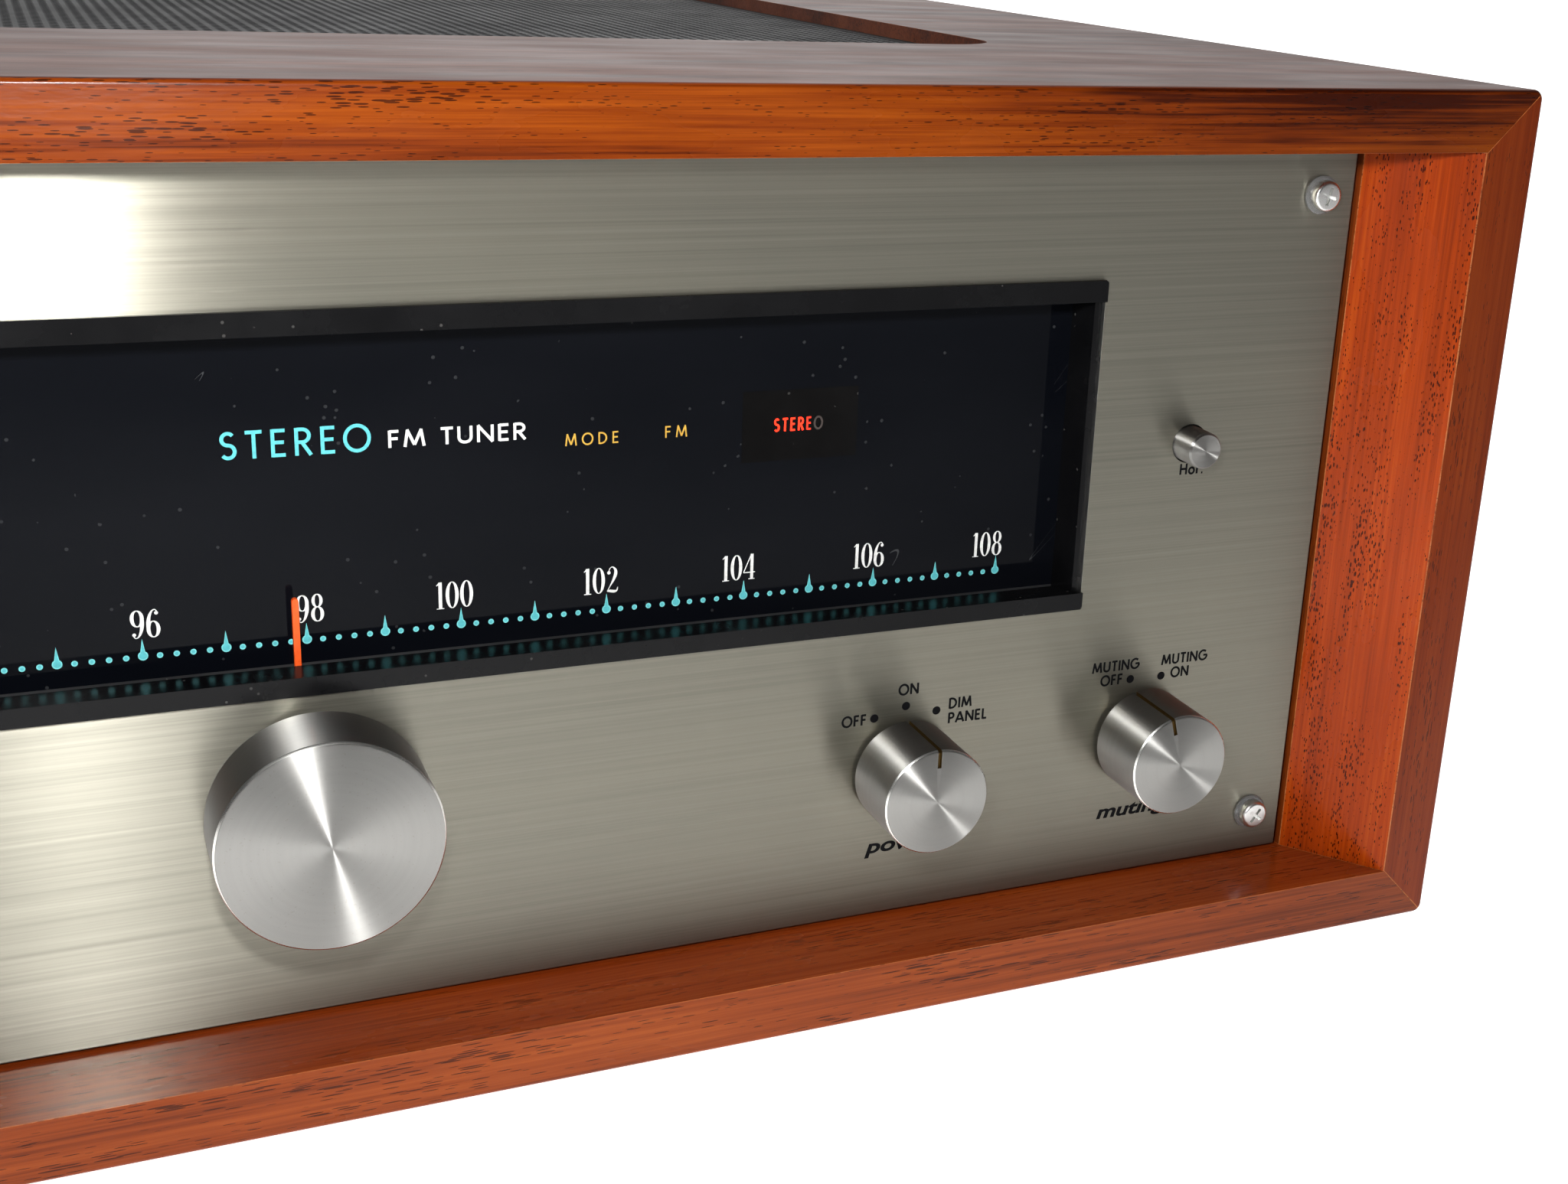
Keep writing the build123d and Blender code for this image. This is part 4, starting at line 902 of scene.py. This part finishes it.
# Plain round capitals, one unit tall: each has its width and its strokes.
STEM = [(0.08, 0), (0.08, 1)]
GLYPHS = {
    "A": (0.80, [(0.02, 0), (0.40, 1)], [(0.40, 1), (0.78, 0)], [(0.15, 0.28), (0.65, 0.28)]),
    "D": (0.76, STEM, [(0.08, 0.94), *arc(0.24, 0.5, 0.44, 0.44, 90, -90), (0.08, 0.06)]),
    "E": (0.54, STEM, [(0.08, 0.94), (0.50, 0.94)], [(0.08, 0.52), (0.46, 0.52)],
          [(0.08, 0.06), (0.50, 0.06)]),
    "F": (0.52, STEM, [(0.08, 0.94), (0.48, 0.94)], [(0.08, 0.52), (0.44, 0.52)]),
    "G": (0.94, [*arc(0.47, 0.5, 0.42, 0.46, 48, 350, 20), (0.885, 0.50), (0.50, 0.50)]),
    "H": (0.74, STEM, [(0.66, 0), (0.66, 1)], [(0.08, 0.52), (0.66, 0.52)]),
    "I": (0.16, STEM),
    "L": (0.48, STEM, [(0.08, 0.06), (0.46, 0.06)]),
    "M": (0.98, [(0.06, 0), (0.19, 1)], [(0.17, 1), (0.49, 0.10)], [(0.49, 0.10), (0.81, 1)],
          [(0.79, 1), (0.92, 0)]),
    "N": (0.80, STEM, [(0.06, 1), (0.74, 0)], [(0.72, 0), (0.72, 1)]),
    "O": (0.94, oval(0.47, 0.5, 0.42, 0.46, 28)),
    "P": (0.58, STEM, [(0.08, 0.94), *arc(0.28, 0.71, 0.23, 0.23, 90, -90), (0.08, 0.48)]),
    "R": (0.62, STEM, [(0.08, 0.94), *arc(0.28, 0.71, 0.23, 0.23, 90, -90), (0.08, 0.48)],
          [(0.26, 0.48), (0.56, 0)]),
    "S": (0.60, [*arc(0.29, 0.73, 0.20, 0.21, 35, 265), *arc(0.29, 0.29, 0.22, 0.23, 85, -145)]),
    "T": (0.58, [(0.29, 0), (0.29, 0.94)], [(0.01, 0.94), (0.57, 0.94)]),
    "U": (0.72, [(0.08, 1), *arc(0.36, 0.34, 0.28, 0.28, 180, 360), (0.64, 1)]),
    "V": (0.72, [(0.02, 1), (0.36, 0)], [(0.36, 0), (0.70, 1)]),
    "o": (0.66, oval(0.33, 0.32, 0.26, 0.28, 24)),
    "r": (0.38, [(0.08, 0), (0.08, 0.64)], arc(0.28, 0.36, 0.20, 0.23, 175, 60, 8)),
    "e": (0.64, [(0.10, 0.33), (0.56, 0.33)], arc(0.33, 0.32, 0.25, 0.28, 0, 315, 22)),
    "t": (0.36, [(0.18, 0), (0.18, 0.88)], [(0.02, 0.60), (0.34, 0.60)]),
    ".": (0.20, [(0.03, 0.06), (0.17, 0.06)]),
    " ": (0.34,),
}


def lettering(name, text, x, z, height, plane, material, align=0.0, weight=0.13, spacing=0.15,
              widen=1.0):
    """Plain capitals drawn as strokes. align is 0 for left, 0.5 for centred, 1 for right."""
    pen = Print()
    widths = [GLYPHS[c][0] * widen for c in text]
    total = (sum(widths) + spacing * (len(text) - 1)) * height
    left = x - align * total
    for c, width in zip(text, widths):
        for order, line in enumerate(GLYPHS[c][1:]):
            points, faces = ribbon([(a * widen, b) for a, b in line], weight, c in "Oo")
            pen.add(points, faces, left, z, height, lift=order * LAYER)
        left += (width + spacing) * height
    piece(name, pen.mesh(name, plane), material, ROOT)


def script(name, text, x, z, height, material):
    """Leaning lower-case word in the built-in face, printed on the panel."""
    curve = bpy.data.curves.new(name, "FONT")
    curve.body = text
    curve.size = 1.0
    curve.shear = 0.22
    curve.offset = 0.03
    curve.resolution_u = 6
    item = in_scene(name, curve)
    graph = bpy.context.evaluated_depsgraph_get()
    mesh = bpy.data.meshes.new_from_object(item.evaluated_get(graph))
    bpy.data.objects.remove(item)
    cap_height = 0.69
    widen = 1.4
    scale = height * MM / cap_height
    turn = Matrix.Rotation(math.radians(90), 4, "X")
    size = Matrix.Diagonal((scale * widen, scale, scale, 1))
    mesh.transform(Matrix.Translation(at(x, -PRINT_LIFT, z)) @ turn @ size)
    mesh.materials.clear()
    piece(name, mesh, material, ROOT)


PRINT_LIFT = 0.02


def captions():
    """Generic words on the dial and panel."""
    glass = extent("dial_glass")[2] - PRINT_LIFT
    lettering("caption_stereo", "STEREO", -11.3, 96.3, 4.6, glass, "teal", spacing=0.26)
    lettering("caption_fm_tuner", "FM TUNER", 15.0, 96.6, 2.9, glass, "white", 0.0, 0.17, 0.22, 1.25)
    lettering("caption_mode", "MODE", 44.6, 94.9, 2.1, glass, "gold", spacing=0.42)
    lettering("caption_fm", "FM", 62.3, 95.2, 2.1, glass, "gold", spacing=0.42)

    # name, words, x, z and where x stands in the word
    labels = [
        ("off", "OFF", 94.2, 40.0, 0.0), ("on", "ON", 107.5, 45.1, 0.5),
        ("dim", "DIM", 116.1, 41.1, 0.0), ("panel", "PANEL", 116.1, 38.1, 0.0),
        ("muting_left", "MUTING", 146.9, 44.5, 0.0), ("muting_off", "OFF", 153.9, 41.6, 1.0),
        ("muting_right", "MUTING", 162.6, 44.5, 0.0), ("muting_on", "ON", 165.0, 41.6, 0.0),
        ("hor", "Hor.", 162.4, 83.7, 0.0), ("vert", "Vert.", -166.4, 83.7, 0.0),
        ("mono", "MONO", -115.6, 41.3, 1.0), ("auto", "AUTO", -107.1, 45.1, 0.5),
        ("stereo", "STEREO", -98.6, 41.3, 0.0),
        ("tune", "TUNE", -170.0, 39.2, 1.0), ("scope_off", "OFF", -159.0, 45.1, 0.5),
        ("audio", "AUDIO", -148.0, 39.2, 0.0),
    ]
    for name, text, x, z, align in labels:
        lettering(
            "label_" + name, text, x, z, 2.15, -PRINT_LIFT, "ink", align, 0.20, 0.15,
        )
    for name, x, z in (("power", 100.2, 13.2), ("muting", 150.6, 12.7), ("mode", -114.5, 13.2),
                       ("display", -167.5, 12.7)):
        script("label_" + name, name, x, z, 2.8, "ink")

    dots = Print()
    # knob x, dot angles clockwise from straight up
    for knob_x, angles in (
        (107.1, (-30, 0, 30)), (159.0, (-15, 17)), (-107.1, (-30, 0, 30)), (-159.0, (-45, 0, 45)),
    ):
        for degrees in angles:
            angle = math.radians(degrees)
            dots.add(*disc(knob_x + 12.8 * math.sin(angle), 30.0 + 12.8 * math.cos(angle), 0.85, 20))
    piece("position_dots", dots.mesh("dots", -PRINT_LIFT), "ink", ROOT)


# --- dial pieces -------------------------------------------------------------
def pointer():
    """Orange blade with a rounded tip."""
    x0, x1, p0, p1, z0, z1 = extent("pointer")
    centre = (x0 + x1) / 2
    half = (x1 - x0) / 2
    outline = [(x0, z0), (x1, z0), *arc(centre, z1 - half, half, half, 0, 180, 8)]
    count = len(outline)
    verts = [at(x, p, z) for p in (p0, p1) for x, z in outline]
    faces = [tuple(range(count)), tuple(range(2 * count - 1, count - 1, -1))]
    faces += [(i, i + count, (i + 1) % count + count, (i + 1) % count) for i in range(count)]
    mesh = solid("pointer_blade", verts, faces)
    item = piece("pointer_blade", mesh, "pointer", "pointer_slide", ["pointer"])
    soften(item, 0.12)


def stereo_window():
    """Smoked window in the glass with the lit word behind it."""
    x0, x1, _, _, z0, z1 = extent("stereo_lens")
    plane = extent("dial_glass")[2]
    outline = box_mesh("window", x0 + 0.1, x1 - 0.1, plane - 0.05, plane + 0.5, z0 + 0.1, z1 - 0.1)
    piece("stereo_window", outline, "lens", ROOT)
    left = x0 + 6.1
    for index, letter in enumerate("STEREO"):
        tone = "lit" if index < 4 else "lit_dim" if index < 5 else "unlit"
        lettering(
            "lit_letter_" + str(index), letter, left, 95.0, 2.4, plane - 0.07, tone,
            weight=0.15, widen=0.72,
        )
        left += (GLYPHS[letter][0] * 0.72 + 0.22) * 2.4


def scope_window():
    """Oscilloscope screen on the unseen half of the dial, with a ruled graticule."""
    plane = extent("dial_glass")[2]
    x0, x1 = -123.0, -61.0
    z0, z1 = 82.0, 114.0
    rule_w = 0.14
    trace_w = 0.3
    g = Graph("screen_green")
    glow = g.grain(25, detail=3)
    tone = g.mix(glow, (0.004, 0.016, 0.009), (0.007, 0.026, 0.014))
    mats["screen"] = g.set(
        Base_Color=tone, Roughness=0.10, Specular_IOR_Level=0.2, Emission_Color=tone,
        Emission_Strength=0.2,
    )
    frame_mesh = box_mesh("screen", x0, x1, plane - 0.04, plane + 0.5, z0, z1)
    item = piece("display_screen", frame_mesh, "screen", ROOT)
    soften(item, 0.02)
    rules = Print()
    for i in range(1, 10):
        x = x0 + (x1 - x0) * i / 10
        rules.add(*ribbon([(x, z0 + 1), (x, z1 - 1)], rule_w))
    for j in range(1, 6):
        z = z0 + (z1 - z0) * j / 6
        rules.add(*ribbon([(x0 + 1, z), (x1 - 1, z)], rule_w))
    piece("display_graticule", rules.mesh("rules", plane - 0.06), "ink", ROOT)
    trace = Print()
    wave = [
        (x0 + 4 + i * (x1 - x0 - 8) / 60, (z0 + z1) / 2 + 4.5 * math.sin(i * 0.42) * math.sin(i * 0.05))
        for i in range(61)
    ]
    trace.add(*ribbon(wave, trace_w))
    mats["trace"] = printed("trace_green", (0.15, 0.9, 0.35), 1.2)
    piece("display_trace", trace.mesh("trace", plane - 0.08), "trace", ROOT)


# --- inside and rear ---------------------------------------------------------
def valve_insides():
    """Electrode cages, mica spacers and getter flash inside each glass."""
    z0 = extent("valves")[4]
    spots = [
        (130, 70), (130, 110), (130, 150), (95, 70), (95, 110), (20, 150), (60, 150),
        (-40, 190), (0, 190), (40, 190), (-90, 220), (-130, 220), (-150, 180),
    ]
    cages = []
    micas = []
    caps = []
    for x, p in spots:
        cages.append(upright("cage", x, p, 4.2, z0 + 12, z0 + 36, 20, "plate_metal", 0.72))
        for z in (z0 + 11, z0 + 36.5):
            micas.append(upright("mica", x, p, 8.4, z, z + 0.5, 28, "mica", 1.0))
        caps.append(upright("getter", x, p, 7.2, z0 + 45.5, z0 + 47, 28, "getter", 1.0))
    join(cages, "valve_cages")
    join(micas, "valve_micas")
    join(caps, "valve_getters")


def upright(name, x, p, radius, z0, z1, count, material, squeeze):
    """Round bar along Z, narrowed in depth by squeeze."""
    outline = oval(x, p, radius, squeeze * radius, count)
    verts = [at(a, b, z) for z in (z0, z1) for a, b in outline]
    faces = [tuple(range(count))[::-1], tuple(range(count, 2 * count))]
    faces += [(i, (i + 1) % count, (i + 1) % count + count, i + count) for i in range(count)]
    mesh = solid(name, verts, faces, True)
    mesh.set_sharp_from_angle(angle=math.radians(40))
    return piece(name, mesh, material, ROOT)


def inside():
    """Finishes for the CAD pieces that stay as they are, and softened copies of four of them."""
    refined("power_transformer", "enamel", bevel=0.6)
    refined("chassis", "chassis", bevel=0.3)
    refined("if_cans", "can", bevel=0.2)
    refined("aerial_terminals", "phenolic", bevel=0.3)
    finishes = {
        "zinc": "wood_screws chassis_bolts side_brackets sub_panel tuning_shaft flywheel"
                " tuning_frame pointer_rail",
        "brass": "tuning_bushing cord_drum rotor_gear pulley_posts",
        "can": "tuning_rotor tuning_stators filter_cans",
        "chassis": "bottom_cover phono_sockets",
        "mumetal": "tube_shield",
        "nylon": "end_pulley_left end_pulley_right guide_pulley_left guide_pulley_right"
                 " guide_pulley_outer pointer_carriage",
        "phenolic": "rotary_switches valve_sockets",
        "black_plastic": "trim_pots fuse_holder",
        "black_steel": "dial_back",
        "rubber": "cord_gland",
        "cord": "dial_cord",
        "glass": "dial_lamps valves display_tube",
        "dial": "dial_glass",
        "bezel": "dial_bezel",
        "lens": "stereo_lens",
    }
    for finish, nodes in finishes.items():
        for node in nodes.split():
            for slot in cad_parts[node].material_slots:
                slot.material = mats[finish]


# --- stage, light and camera -------------------------------------------------
def stage():
    """Pale floor, brighter under the object and behind it than in front."""
    size = 6.0
    corners = [(-size, -size, 0), (size, -size, 0), (size, size, 0), (-size, size, 0)]
    mesh = solid("floor", corners, [(0, 1, 2, 3)])
    floor = in_scene("floor", mesh)
    g = Graph("floor_pale")
    cloud = g.grain(3, detail=2)
    tone = g.mix(cloud, (0.86, 0.86, 0.86), (0.89, 0.89, 0.89))
    along = g.node("SeparateXYZ", Vector=g.node("TexCoord").outputs["Object"]).outputs["Y"]
    mesh.materials.append(g.set(
        Base_Color=tone, Roughness=0.9, Specular_IOR_Level=0.1, Emission_Color=tone,
        Emission_Strength=g.span(along, -0.42, -0.18, 0.12, 1.25),
    ))


def lamp(name, kind, where, aim, power, size):
    """Light at a place, turned towards a point."""
    data = bpy.data.lights.new(name, kind)
    data.energy = power
    if kind == "AREA":
        data.size = size
    else:
        data.shadow_soft_size = size
    item = in_scene(name, data)
    item.location = where
    item.rotation_euler = (Vector(aim) - Vector(where)).to_track_quat("-Z", "Y").to_euler()


def light():
    """A small key light above and in front, soft fills, and a surround that is bright behind."""
    lamp("key", "POINT", at(-34, -225, 205), at(0, 0, 60), 3.8, 0.014)
    lamp("front_fill", "AREA", (-0.9, -1.6, 1.5), (0, 0, 0.08), 0.3, 1.2)
    lamp("top_fill", "AREA", (0.3, 0.2, 2.0), (0, 0, 0.1), 1.5, 1.6)
    lamp("back_fill", "AREA", (0.6, 2.0, 1.2), (0, 0, 0.1), 4.0, 1.2)
    world = bpy.data.worlds.new("surround")
    bpy.context.scene.world = world
    world.use_nodes = True
    nodes = world.node_tree.nodes
    links = world.node_tree.links
    background = nodes["Background"]
    coords = nodes.new("ShaderNodeTexCoord")
    split = nodes.new("ShaderNodeSeparateXYZ")
    links.new(coords.outputs["Generated"], split.inputs[0])
    spread = nodes.new("ShaderNodeMapRange")
    links.new(split.outputs["Y"], spread.inputs[0])
    for index, number in ((1, -0.2), (2, 0.6), (3, 0.06), (4, 1.0)):
        spread.inputs[index].default_value = number
    links.new(spread.outputs[0], background.inputs["Strength"])
    background.inputs["Color"].default_value = (1, 1, 1, 1)


def camera():
    """The camera's place, aim, roll and lens."""
    place = at(-39.9, -304.3, 184.7)
    yaw, pitch, roll = (math.radians(v) for v in (24.63, -18.64, 2.80))
    forward = Vector((
        math.sin(yaw) * math.cos(pitch), math.cos(yaw) * math.cos(pitch), math.sin(pitch),
    ))
    right = Vector((math.cos(yaw), -math.sin(yaw), 0))
    up = right.cross(forward)
    rolled = right * math.cos(roll) + up * math.sin(roll)
    rolled_up = up * math.cos(roll) - right * math.sin(roll)
    data = bpy.data.cameras.new("camera")
    data.sensor_fit = "HORIZONTAL"
    data.sensor_width = 36.0
    data.lens = 44.9
    data.shift_x = -0.059
    data.shift_y = -0.0186
    data.clip_start = 0.01
    item = in_scene("camera", data)
    turn = Matrix((rolled, rolled_up, -forward)).transposed().to_4x4()
    item.matrix_world = Matrix.Translation(place) @ turn
    bpy.context.scene.camera = item


camera()
light()
stage()
cabinet()
vent_grille()
panel()
corner_screws()
knobs()
dial_print()
captions()
pointer()
stereo_window()
scope_window()
valve_insides()
inside()

bpy.context.scene.view_settings.view_transform = "Standard"
bpy.context.view_layer.update()
